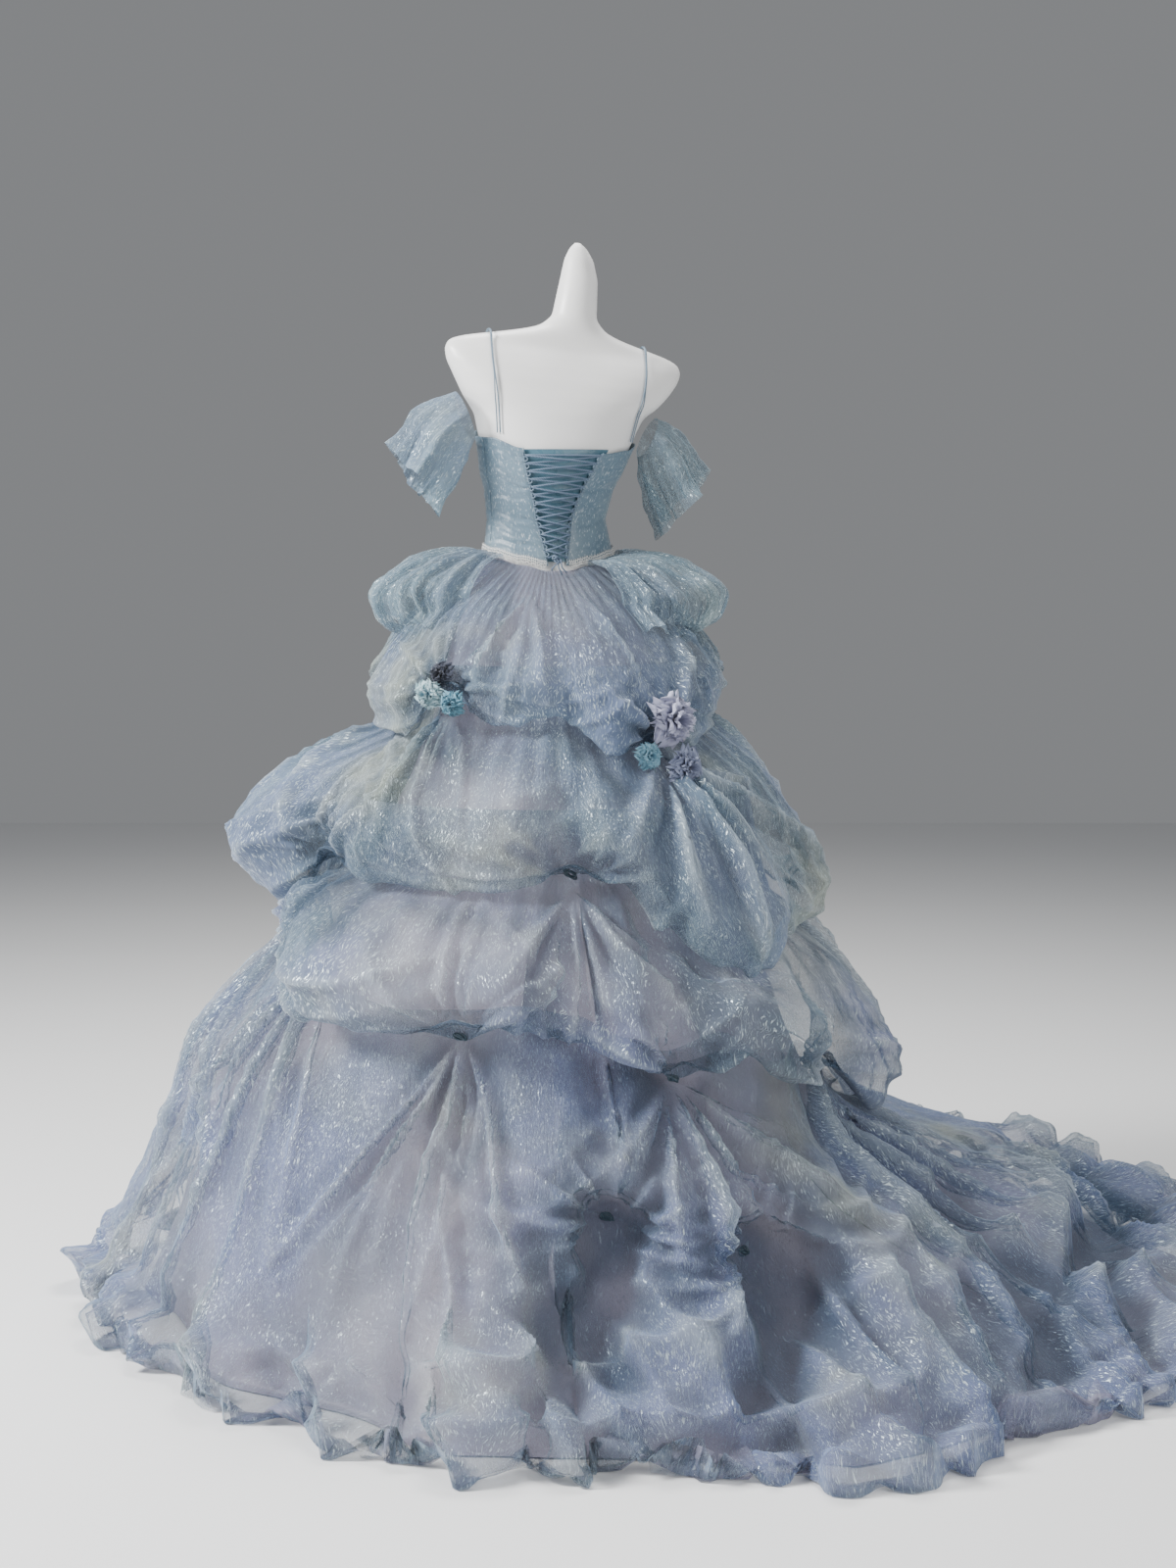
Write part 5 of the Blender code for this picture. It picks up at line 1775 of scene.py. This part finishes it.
@dataclass
class BodicePanel:
    """One panel of the bodice, with its bones and drag creases."""

    name: str
    node: str
    start: Any
    end: Any
    bones: tuple[float, ...]
    creases: float
    offset: float = 0.0050
    columns: int = 90
    rows: int = 80
    flat: tuple[float, float] = (0.14, 0.23)
    drawn: float = 0.5

    def grid(self) -> Array:
        """Places of the panel, with its bones and its creases where it is drawn together."""
        shares = np.linspace(0, 1, self.rows)[:, None]
        across = np.linspace(0, 1, self.columns)[None, :]
        turns = np.zeros((self.rows, self.columns))
        heights = np.full((self.rows, self.columns), 1.33)
        for _ in range(5):
            left = self.start(heights) if callable(self.start) else self.start
            right = self.end(heights) if callable(self.end) else self.end
            turns = np.broadcast_to(left + (right - left) * across, heights.shape)
            edges = Measure.round_table(BODICE_EDGES, turns.ravel()).reshape(self.rows, self.columns, 3)
            heights = edges[..., 1] + (edges[..., 2] - edges[..., 1]) * shares
        relief = np.full_like(turns, self.offset + 0.0008)
        for bone in self.bones:
            relief += 0.0009 * np.exp(-(((across - bone) * 90 * self.flat[0]) ** 2))
        source = np.random.default_rng(len(self.name))
        for number in range(15):
            level = (number + source.uniform(0.0, 0.9)) / 15
            tilt, width = source.uniform(-0.10, 0.10), source.uniform(0.008, 0.020)
            reach, middle = source.uniform(0.20, 0.55), self.drawn + source.uniform(-0.3, 0.3)
            aside = (shares - level - tilt * across) / width
            window = self.creases * source.uniform(0.4, 1.1) * np.exp(-(((across - middle) / reach) ** 2))
            relief += window * (0.7 * np.exp(-((aside - 2) ** 2)) - np.exp(-(aside**2)))
        return Measure.form_points(heights, turns, relief)

    def build(self, material: Material) -> Piece:
        """Make the panel and dress it.

        Args:
            material: Its finish.

        Returns:
            The piece.
        """
        item = Cloth.mesh(self.name, yawed(self.grid()), False, material)
        Cloth.thickened(item, 0.0018)
        return Dressing.cloth(item, self.node, "bodice_satin", self.flat, "stretched")

    def stitches(self, row: float) -> Array:
        """Line of places for a row of stitches at a share of the way down.

        Args:
            row: The share.

        Returns:
            The places.
        """
        grid = self.grid()
        index = int(round(row * (self.rows - 1)))
        out = normals_of(grid, False)[index]
        return yawed(grid[index] + 0.0012 * out)


@dataclass(frozen=True)
class Stitching:
    """Rows of short raised stitches along seams."""

    length: float = 0.0026
    gap: float = 0.0012
    width: float = 0.0005

    def build(self, name: str, lines: list[Array], material: Material) -> Piece:
        """One joined mesh of all stitches along some lines.

        Args:
            name: Name of the piece.
            lines: Lines of places.
            material: Its finish.

        Returns:
            The piece.
        """
        points: list[Any] = []
        faces: list[tuple[int, ...]] = []
        for line in lines:
            along = np.concatenate([[0], np.cumsum(np.linalg.norm(np.diff(line, axis=0), axis=1))])
            for start in np.arange(0.002, along[-1] - self.length, self.length + self.gap):
                ends = [
                    np.array([np.interp(place, along, line[:, axis]) for axis in range(3)])
                    for place in (start, start + self.length)
                ]
                direction = ends[1] - ends[0]
                outward = np.array([ends[0][0], ends[0][1], 0.0])
                side = np.cross(direction, outward)
                side *= self.width / max(np.linalg.norm(side), 1e-9)
                outward *= self.width / max(np.linalg.norm(outward), 1e-9)
                base = len(points)
                middle = (ends[0] + ends[1]) / 2 + outward
                points += [ends[0], ends[1], middle + side, middle - side]
                faces += [(base, base + 2, base + 1), (base, base + 1, base + 3),
                          (base + 2, base + 3, base + 1), (base, base + 3, base + 2)]
        data = bpy.data.meshes.new(name)
        data.from_pydata([tuple(point) for point in points], [], faces)
        item = bpy.data.objects.new(name, data)
        data.materials.append(material)
        bpy.context.scene.collection.objects.link(item)
        return Dressing.fitting(item, None, "lacing")


@dataclass(frozen=True)
class Cord:
    """A round cord as a tube along a smooth line."""

    radius: float
    sides: int = 8

    def mesh(self, name: str, line: Array, material: Material, smooth: int = 6) -> Piece:
        """Tube through points.

        Args:
            name: Name of the piece.
            line: Points that it follows.
            material: Its finish.
            smooth: Steps between two points.

        Returns:
            The piece.
        """
        steps = (len(line) - 1) * smooth + 1
        path = curve_rows(np.asarray(line)[:, None, :], np.linspace(0, 1, steps))[:, 0]
        tangent = np.gradient(path, axis=0)
        tangent /= np.maximum(np.linalg.norm(tangent, axis=1, keepdims=True), 1e-9)
        outward = np.stack([path[:, 0], path[:, 1], np.full(steps, 0.02)], -1)
        side = np.cross(tangent, outward)
        side /= np.maximum(np.linalg.norm(side, axis=1, keepdims=True), 1e-9)
        up = np.cross(side, tangent)
        angle = np.linspace(0, 2 * math.pi, self.sides, endpoint=False)
        ring = side[:, None] * np.cos(angle)[None, :, None] + up[:, None] * np.sin(angle)[None, :, None]
        return Cloth.mesh(name, path[:, None] + self.radius * ring, True, material)


@dataclass
class Lacing:
    """Loops along both edges of the opening, two crossing cords and their knot."""

    loops: int = 14
    rows: int = 13
    top: float = 1.412
    bottom: float = 1.246

    def build(self, loop_finish: Material, cord_finish: Material) -> None:
        """Make the loops, the cords and the knot.

        Args:
            loop_finish: Finish of the loops.
            cord_finish: Finish of the cord.
        """
        for side in Side:
            item = self._loops(side, loop_finish)
            Dressing.fitting(item, f"loop_strip_{side.value}", "lacing")
        left, right = self._zigzag(Side.LEFT), self._zigzag(Side.RIGHT)
        reach = float(Measure.opening(np.array([self.top]))[0]) - 0.4
        across = np.linspace(reach, -reach, 6)[1:-1]
        run = yawed(Measure.form_points(np.full(4, self.top), across, CORD_LIE))
        item = Cord(0.0016).mesh("lacing_line", np.concatenate([left[::-1], run, right]), cord_finish, 3)
        Dressing.fitting(item, "lacing_cord", "lacing")
        Dressing.fitting(self._knot(cord_finish), None, "lacing")

    def _place(self, height: float, turn: float, offset: float) -> Array:
        """One place on the form."""
        return Measure.form_points(np.array([height]), np.array([turn]), offset)[0]

    def _loops(self, side: Side, material: Material) -> Piece:
        """Small loops of cord along one edge.

        Args:
            side: Side of the opening.
            material: Its finish.

        Returns:
            The piece.
        """
        parts = []
        for number in range(self.loops):
            height = self.top + (self.bottom - self.top) * (number + 0.5) / self.loops
            half_turn = float(Measure.opening(np.array([height]))[0])
            line = []
            for step in range(7):
                angle = math.pi * (step / 6 - 0.5)
                turn = half_turn + 1.6 - 3.4 * math.cos(angle)
                line.append(self._place(height + 0.0042 * math.sin(angle), side.sign * turn, 0.0088))
            parts.append(Cord(0.0012, 6).mesh("loop", yawed(np.array(line)), material, 3))
        edge = []
        for step in range(30):
            height = self.top + 0.004 + (self.bottom - self.top - 0.008) * step / 29
            half_turn = float(Measure.opening(np.array([height]))[0])
            edge.append(self._place(height, side.sign * (half_turn + 1.2), 0.0078))
        parts.append(Cord(0.0011, 6).mesh("edge", yawed(np.array(edge)), material, 3))
        return Cloth.joined(f"loop_{side.value}_strip", parts)

    def _zigzag(self, side: Side) -> Array:
        """Route of one cord, from loop to loop across the opening.

        Args:
            side: Side that it starts on.

        Returns:
            Its places.
        """
        line = []
        steps = 6
        source = np.random.default_rng(5 + side.sign)
        sags = source.uniform(-0.0012, 0.0020, self.rows + 2)
        for step in range(self.rows * steps + 1):
            share = step / (self.rows * steps)
            place = step / steps
            swing = 1 - 2 * abs((place % 2) - 1)
            height = self.top + (self.bottom - self.top) * share
            height -= sags[int(place)] * (1 - swing * swing)
            turn = (float(Measure.opening(np.array([height]))[0]) - 0.4) * swing * side.sign
            lift = 0.0036 * (1 - swing * swing) if side is Side.RIGHT else 0.0
            line.append(self._place(height, turn, CORD_LIE + lift))
        return yawed(np.array(line))

    def _knot(self, material: Material) -> Piece:
        """Small tangled knot with short ends, at the foot of the lacing.

        Args:
            material: Its finish.

        Returns:
            The piece.
        """
        source = np.random.default_rng(12)
        centre = self._place(self.bottom - 0.002, 0.0, 0.0150)
        parts = []
        for number in range(5):
            angle = np.linspace(0, 2 * math.pi, 13)
            size = source.uniform(0.004, 0.0075)
            tilt = source.uniform(0, math.pi)
            x = size * np.cos(angle + tilt) + source.uniform(-0.002, 0.002)
            z = 0.7 * size * np.sin(angle) + source.uniform(-0.002, 0.002)
            y = -0.0016 * np.sin(3 * angle + number) - 0.0008 * number
            parts.append(Cord(0.0014, 6).mesh("turn", yawed(centre + np.stack([x, y, z], -1)), material, 3))
        for number, lean in enumerate((-0.010, 0.013, 0.004)):
            down = np.linspace(0, 1, 6)
            x = lean * down + 0.002 * np.sin(6 * down + number)
            z = -0.018 * down * (1 + 0.4 * number / 2)
            y = -0.002 - 0.004 * np.sin(math.pi * down)
            parts.append(Cord(0.0012, 6).mesh("end", yawed(centre + np.stack([x, y, z], -1)), material, 4))
        return Cloth.joined("lacing_knot", parts)


@dataclass
class WaistLace:
    """Scalloped lace along the lower edge of the bodice."""

    scallops: int = 64

    def build(self, material: Material) -> Piece:
        """Make the lace and dress it.

        Args:
            material: Its finish.

        Returns:
            The piece.
        """
        columns = self.scallops * 10 + 1
        turns = np.linspace(9.5, 350.5, columns)
        edge = Measure.round_table(BODICE_EDGES, turns)[:, 2]
        wave = np.abs(np.sin(np.linspace(0, math.pi * self.scallops, columns)))
        rows = []
        for share in np.linspace(0, 1, 7):
            height = edge + 0.0085 - share * (0.0110 + 0.0030 * wave)
            offset = 0.0106 + 0.0006 * np.sin(np.linspace(0, 2 * math.pi * self.scallops, columns)) * share
            rows.append(Measure.form_points(height, turns, offset))
        item = Cloth.mesh("waist_lace_band", yawed(np.array(rows)), False, material)
        return Dressing.cloth(item, "waist_lace", "lace", (0.62, 0.013), "stretched", "bodice_front")


@dataclass
class Sleeve:
    """Short open sleeve of crumpled tulle that hangs off the shoulder."""

    side: Side
    rings: tuple[SleeveRing, ...]
    columns: int = 150
    rows: int = 46

    def build(self, material: Material) -> Piece:
        """Make the sleeve and dress it.

        Args:
            material: Its finish.

        Returns:
            The piece.
        """
        fine = curve_rows(np.array(self.rings)[:, None, :], np.linspace(0, 1, self.rows))[:, 0]
        x, z, across_x, across_z, half_depth, wave = (fine[:, k:k + 1] for k in range(6))
        angle = np.linspace(0, 2 * math.pi, self.columns, endpoint=False)[None, :]
        ripple = 1 + wave / half_depth * (
            2 * np.cos(4 * angle + 0.6) + 0.8 * np.cos(11 * angle + 2 * np.sin(2 * angle))
        )
        along = np.cos(angle) * ripple
        grid = np.stack([x + across_x * along, half_depth * np.sin(angle) * ripple, z + across_z * along], -1)
        normal = normals_of(grid, True)
        growth = np.linspace(0.5, 1, self.rows)[:, None]
        fold = 0.0050 * np.cos(9 * angle + 2 * np.sin(2 * angle + self.side.sign)) * growth
        fold = fold + 0.0036 * crumple(grid, 40 + self.side.sign, 0.075)
        fade = soft_step(np.linspace(0, 5, self.rows))[:, None]
        grid = grid + normal * (fold * fade)[..., None]
        # Painted shade in the valleys of the folds, painted highlight on their crests.
        name, valley = f"{self.side.value}_sleeve_tulle", -SLEEVE_SHADE * fold
        item = Cloth.mesh(name, yawed(grid), True, material, PALE_DENSITY + valley, valley)
        return Dressing.cloth(item, f"sleeve_{self.side.value}", "tulle_pale", (0.40, 0.14))


@dataclass
class Strap:
    """Two thin strands over one shoulder, joined into one near the top."""

    side: Side
    route: tuple[tuple[float, float], ...]
    width: float = 0.005

    def _place(self, across: float, height: float, facing: int) -> Array:
        """One place on the back (1) or the front (-1) of the form.

        Args:
            across: Distance across from the middle.
            height: Height.
            facing: Back or front.

        Returns:
            The place, just off the form.
        """
        centre, half_width, back, front, power = (
            float(np.interp(height, FORM_TABLE[:, 0], FORM_TABLE[:, k])) for k in range(1, 6)
        )
        share = min(abs(across) / (half_width + 0.0034), 0.999)
        depth = back if facing > 0 else front
        y = (depth + 0.0044) * (1 - share**power) ** (1 / power)
        roll = float(soft_step((height - ROLL_START) / (ROLL_FULL - ROLL_START))) * SHOULDER_ROLL
        return np.array([centre + across, -facing * y, height - roll * across])

    def build(self, material: Material) -> Piece:
        """Make both strands and dress them.

        Args:
            material: Its finish.

        Returns:
            The piece.
        """
        parts = []
        for strand in (-1, 1):
            line = []
            for facing in (1, -1):
                points = []
                for across, height in self.route:
                    apart = strand * self.width * 0.42 * (1 if height < 1.52 else 0.35)
                    points.append(self._place(across + apart, height, facing))
                line.append(points if facing > 0 else points[::-1])
            across = self.route[-1][0] + strand * self.width * 0.15
            last = line[0][-1]
            arch = []
            for step in range(1, 6):
                angle = math.pi * step / 6
                top = 1.588 + 0.020 * math.sin(angle) - SHOULDER_ROLL * across
                arch.append(np.array([0.028 + across, last[1] * math.cos(angle), top]))
            path = np.array(line[0] + arch + line[1][1:])
            parts.append(Cord(0.0011, 6).mesh("strand", yawed(path), material, 5))
        item = Cloth.joined(f"{self.side.value}_strap_strands", parts)
        return Dressing.fitting(item, f"strap_{self.side.value}", "lacing")


@dataclass
class ClothFlower:
    """Fabric flower of curved petals in whorls round a gathered heart."""

    flower: Flower
    seed: int

    def build(self, material: Material) -> Piece:
        """Make the flower and dress it.

        Args:
            material: Its finish.

        Returns:
            The piece.
        """
        source = np.random.default_rng(self.seed)
        flower = self.flower
        centre = np.array([flower.x, -math.sqrt(flower.depth**2 - flower.x**2), flower.z])
        out = np.array([centre[0], centre[1], 0.0])
        out /= np.linalg.norm(out)
        side = np.array([-out[1], out[0], 0.0])
        up = np.array([0.0, 0.0, 1.0])
        parts = []
        for whorl, (count, size, rise) in enumerate(WHORLS):
            for number in range(count):
                heading = 2 * math.pi * (number + 0.5 * whorl + source.uniform(-0.28, 0.28)) / count
                parts.append(self._petal(source, centre, (side, up, out), heading, size, rise, material))
        item = Cloth.joined(f"{flower.name or 'flower_left_teal'}_petals", parts)
        return Dressing.fitting(item, flower.name, flower.slot)

    def _petal(
        self, source: Any, centre: Array, axes: tuple[Array, Array, Array], heading: float, size: float,
        rise: float, material: Material
    ) -> Piece:
        """One petal with a waved, rolled edge.

        Args:
            source: Source of its small differences.
            centre: Middle of the flower.
            axes: Directions across, up and out.
            heading: Angle that it points to.
            size: Length against the flower's radius.
            rise: How much it stands up.
            material: Its finish.

        Returns:
            The petal.
        """
        side, up, out = axes
        radius = self.flower.radius
        along = np.linspace(0, 1, 12)[:, None]
        across = np.linspace(-1, 1, 13)[None, :]
        length = radius * size * source.uniform(0.82, 1.14)
        rise = rise * source.uniform(0.7, 1.3)
        width = 0.58 * length * np.sin(math.pi * (0.08 + 0.84 * along)) ** 0.6
        lift = radius * (rise * np.sin(along * math.pi * 0.55) - 0.28 * size * along**3)
        lift = lift + 0.10 * radius * across**2 * along
        lift = lift + 0.18 * radius * along**1.5 * np.sin(3.2 * across * math.pi + source.uniform(0, 6))
        ragged = 0.13 * np.sin(7 * across + source.uniform(0, 6))
        ragged = ragged + 0.09 * np.sin(13 * across + source.uniform(0, 6))
        reach = length * along * (1 - 0.10 * across**2 + ragged * along**2)
        shift = width * across
        cosine, sine = math.cos(heading), math.sin(heading)
        first = reach * cosine - shift * sine
        second = reach * sine + shift * cosine
        place = first[..., None] * side + second[..., None] * up + (lift + 0.35 * radius)[..., None] * out
        item = Cloth.mesh("petal", centre + place, False, material)
        u, v = np.meshgrid(np.linspace(-1, 1, 13), np.linspace(0, 1, 12))
        corners = [v_index for face in item.data.polygons for v_index in face.vertices]
        places = np.stack([u.ravel()[corners], v.ravel()[corners]], -1)
        item.data.uv_layers[CLOTH_MAP].uv.foreach_set("vector", places.astype(np.float32).ravel())
        return item


@dataclass
class DressForm:
    """Smooth limbless torso, finely turned through its sections."""

    columns: int = 96
    rows: int = 150

    def build(self, material: Material) -> Piece:
        """Make the torso and dress it.

        Args:
            material: Its finish.

        Returns:
            The piece.
        """
        levels = FORM_TABLE[:, 0]
        heights = np.concatenate([np.linspace(levels[0], levels[-1], self.rows), levels])
        heights = np.unique(np.round(heights, 4))
        turns = np.linspace(0, 360, self.columns, endpoint=False)
        level = np.ones(self.columns)
        rings = np.array([Measure.form_points(height * level, turns, 0.0) for height in heights])
        smooth = rings.copy()
        for _ in range(3):
            smooth[1:-1] = (smooth[:-2] + 2 * smooth[1:-1] + smooth[2:]) / 4
        smooth = np.concatenate([
            smooth[:1].mean(1, keepdims=True).repeat(self.columns, 1), smooth,
            smooth[-1:].mean(1, keepdims=True).repeat(self.columns, 1),
        ])
        item = Cloth.mesh("dress_form_torso", yawed(smooth[::-1]), True, material)
        return Dressing.fitting(item, "form_torso", "form_shell")


@dataclass
class Studio:
    """Pale floor, soft lights and the camera at the photo's angle."""

    floor_half: float = 7.0
    camera_place: tuple[float, float, float] = (0.066, -4.0, 1.26)
    camera_tilt: float = -5.6
    view_angle: float = 36.3

    def build(self) -> None:
        """Set the stage."""
        floor = Cloth.mesh(
            "studio_floor",
            self.floor_half * np.array([[[-1.0, 1, 0], [1, 1, 0]], [[-1, -1, 0], [1, -1, 0]]]),
            False, FloorFinish("studio_floor_finish", (0.90, 0.90, 0.895)).make(),
        )
        self._light("key_light", (-3.3, -1.5, 3.1), 1.2, 400)
        self._light("fill_light", (2.6, -3.4, 2.2), 2.6, 82)
        self._light("top_light", (0.2, 0.8, 4.2), 1.6, 135)
        world = bpy.data.worlds.new("studio_air")
        world.use_nodes = True
        world.node_tree.nodes["Background"].inputs["Color"].default_value = (0.80, 0.82, 0.85, 1.0)
        world.node_tree.nodes["Background"].inputs["Strength"].default_value = 0.29
        bpy.context.scene.world = world
        data = bpy.data.cameras.new("photo_camera")
        data.sensor_fit = "VERTICAL"
        data.angle = math.radians(self.view_angle)
        camera = bpy.data.objects.new("photo_camera", data)
        camera.location = self.camera_place
        camera.rotation_euler = (math.radians(90 + self.camera_tilt), 0.0, 0.0)
        bpy.context.scene.collection.objects.link(camera)
        bpy.context.scene.camera = camera

    @staticmethod
    def _light(name: str, place: tuple[float, float, float], size: float, power: float) -> None:
        """One soft light that looks at the gown's middle.

        Args:
            name: Name of the light.
            place: Where it stands.
            size: Width in metres.
            power: Power in watts.
        """
        data = bpy.data.lights.new(name, "AREA")
        data.size = size
        data.energy = power
        item = bpy.data.objects.new(name, data)
        item.location = place
        item.rotation_euler = (Vector((0.0, 0.0, 0.85)) - Vector(place)).to_track_quat("-Z", "Y").to_euler()
        bpy.context.scene.collection.objects.link(item)


def right_edge(heights: Array) -> Array:
    """Turn of the opening's right edge at each height."""
    return Measure.opening(heights.ravel()).reshape(heights.shape)


def left_edge(heights: Array) -> Array:
    """Turn of the opening's left edge at each height."""
    return -right_edge(heights)


def build_bodice() -> None:
    """Bodice panels, modesty panel, stitching, lacing, lace and straps."""
    satin = SatinFinish("bodice_satin_finish", (0.105, 0.170, 0.225), (0.150, 0.225, 0.285),
                        (0.270, 0.350, 0.385), 0.40, 0.42, 0.30, 0.42).make()
    panels = (
        BodicePanel("back_left_panel", "bodice_back_left", -71.75, left_edge, (0.12, 0.5, 0.9), 0.0021,
                    drawn=0.8),
        BodicePanel("back_right_panel", "bodice_back_right", right_edge, 71.75, (0.1, 0.5, 0.88), 0.0016,
                    drawn=0.25),
        BodicePanel("side_left_panel", "bodice_side_left", -111.75, -72.25, (0.1, 0.9), 0.0012, columns=50,
                    flat=(0.08, 0.21)),
        BodicePanel("side_right_panel", "bodice_side_right", 72.25, 111.75, (0.1, 0.9), 0.0008, columns=50,
                    flat=(0.08, 0.21)),
        BodicePanel("front_panel", "bodice_front", 112.25, 247.75, (0.1, 0.3, 0.7, 0.9), 0.0006,
                    offset=0.0070, columns=140, flat=(0.34, 0.25)),
    )
    lines = []
    for panel in panels:
        panel.build(satin)
        lines += [panel.stitches(0.025), panel.stitches(0.955)]
    thread = CordFinish("seam_thread_finish", (0.30, 0.38, 0.45)).make()
    Stitching().build("seam_stitches", lines, thread)

    grid_rows = np.linspace(1.422, 1.240, 70)
    reach = Measure.opening(grid_rows) + 7
    turns = np.linspace(-1, 1, 50)[None, :] * reach[:, None]
    heights = np.repeat(grid_rows[:, None], 50, 1)
    relief = 0.0018 + 0.0008 * np.sin(grid_rows * 330 + 0.4 * np.sin(grid_rows * 80))[:, None] * \
        (1 - (turns / reach[:, None]) ** 2)
    panel_satin = SatinFinish("modesty_satin_finish", (0.070, 0.165, 0.225), (0.100, 0.205, 0.265),
                              (0.180, 0.280, 0.320), 0.3, 0.30, 0.25).make()
    item = Cloth.mesh("modesty_satin", yawed(Measure.form_points(heights, turns, relief)), False, panel_satin)
    Dressing.cloth(item, "modesty_panel", "panel_satin", (0.13, 0.19), "stretched")

    loop_cord = CordFinish("loop_cord_finish", (0.190, 0.270, 0.350)).make()
    lace_cord = CordFinish("lacing_cord_finish", (0.150, 0.215, 0.310)).make()
    Lacing().build(loop_cord, lace_cord)
    WaistLace().build(LaceFinish("waist_lace_finish").make())
    Strap(Side.LEFT, LEFT_STRAP).build(loop_cord)
    Strap(Side.RIGHT, RIGHT_STRAP).build(loop_cord)


def build_skirts() -> None:
    """Underskirt, tulle tiers, hip puffs and sleeves."""
    hem = HemTier(Folds(HEM_FANS, HEM_SWAGS, 0.0040, 0.16, 91))
    lilac = SatinFinish("underskirt_satin_finish", (0.400, 0.365, 0.440), (0.340, 0.320, 0.410),
                        (0.480, 0.440, 0.460), 0.4, 0.42, 0.3).make()
    Underskirt(hem).build(lilac)
    tulle = TulleFinish("tulle_finish").make()
    deep = TulleFinish("lower_tulle_finish", base=(0.120, 0.180, 0.240), second=(0.145, 0.175, 0.300),
                       accent=(0.340, 0.370, 0.380), thin=0.44).make()
    pale = TulleFinish("pale_tulle_finish", base=(0.165, 0.255, 0.310), second=(0.185, 0.260, 0.365),
                       accent=(0.450, 0.490, 0.390), thin=0.44).make()
    veil = TulleFinish("hem_tulle_finish", base=(0.145, 0.210, 0.270), second=(0.140, 0.195, 0.360),
                       thin=0.26, patchy=0.24).make()
    inner = TulleFinish("inner_tulle_finish", base=(0.230, 0.260, 0.360), second=(0.280, 0.270, 0.400),
                        thin=0.14, patchy=0.20, dense=0.80, threads=0.30).make()
    HemTier(hem.folds, "hem_inner_tulle", None, 0.013, 0.05, 480, 72).build(inner)
    hem.build(veil)
    lower = CaughtTier("lower_tulle", "overskirt_lower", LOWER_TIER, MIDDLE_TIER, LOWER_TOP, 9, 0.012, 37,
                       Folds(LOWER_FOLDS, LOWER_SWAGS, 0.0030, 0.14, 3), flat=(5.2, 0.62))
    lower.build(deep)
    middle = CaughtTier("middle_tulle", "overskirt_middle", MIDDLE_TIER, UPPER_TIER, MIDDLE_TOP, 9, 0.012, 41,
                        Folds(MIDDLE_FOLDS, MIDDLE_SWAGS, 0.0030, 0.13, 2), flat=(4.2, 0.60))
    middle.build(tulle)
    upper = CaughtTier("upper_tulle", "overskirt_upper", UPPER_TIER, None, None, 11, 0.008, 73,
                       Folds(UPPER_FOLDS, UPPER_SWAGS, 0.0026, 0.11, 1), flat=(2.9, 0.40))
    upper.build(tulle)
    knot_thread = CordFinish("tack_thread_finish", (0.030, 0.060, 0.085)).make()
    layers = {"hem": hem.places()[0], "lower": lower.places()[0], "middle": middle.places()[0]}
    TackKnots().build(layers, knot_thread)
    for side in Side:
        HipPuff(side).build(pale)
    Sleeve(Side.LEFT, LEFT_SLEEVE).build(pale)
    Sleeve(Side.RIGHT, RIGHT_SLEEVE).build(pale)


def build_flowers() -> None:
    """All fabric flowers."""
    for number, flower in enumerate(FLOWERS):
        finish = PetalFinish(f"petal_finish_{number}", flower.heart, flower.rim).make()
        ClothFlower(flower, 20 + number).build(finish)


def finish_stand() -> None:
    """Painted metal on the stand, which keeps its solid."""
    metal = ShellFinish("stand_metal_finish", (0.42, 0.42, 0.43), 0.36, 0.6).make()
    stand = bpy.data.objects["stand"]
    stand.data.materials.clear()
    stand.data.materials.append(metal)


def main() -> None:
    """Build the gown in the order it is put on."""
    logging.basicConfig(level=logging.INFO, format="%(message)s")
    Studio().build()
    DressForm().build(ShellFinish("form_shell_finish", (0.86, 0.855, 0.84), 0.34).make())
    finish_stand()
    build_bodice()
    build_skirts()
    build_flowers()


if __name__ == "__main__":
    main()
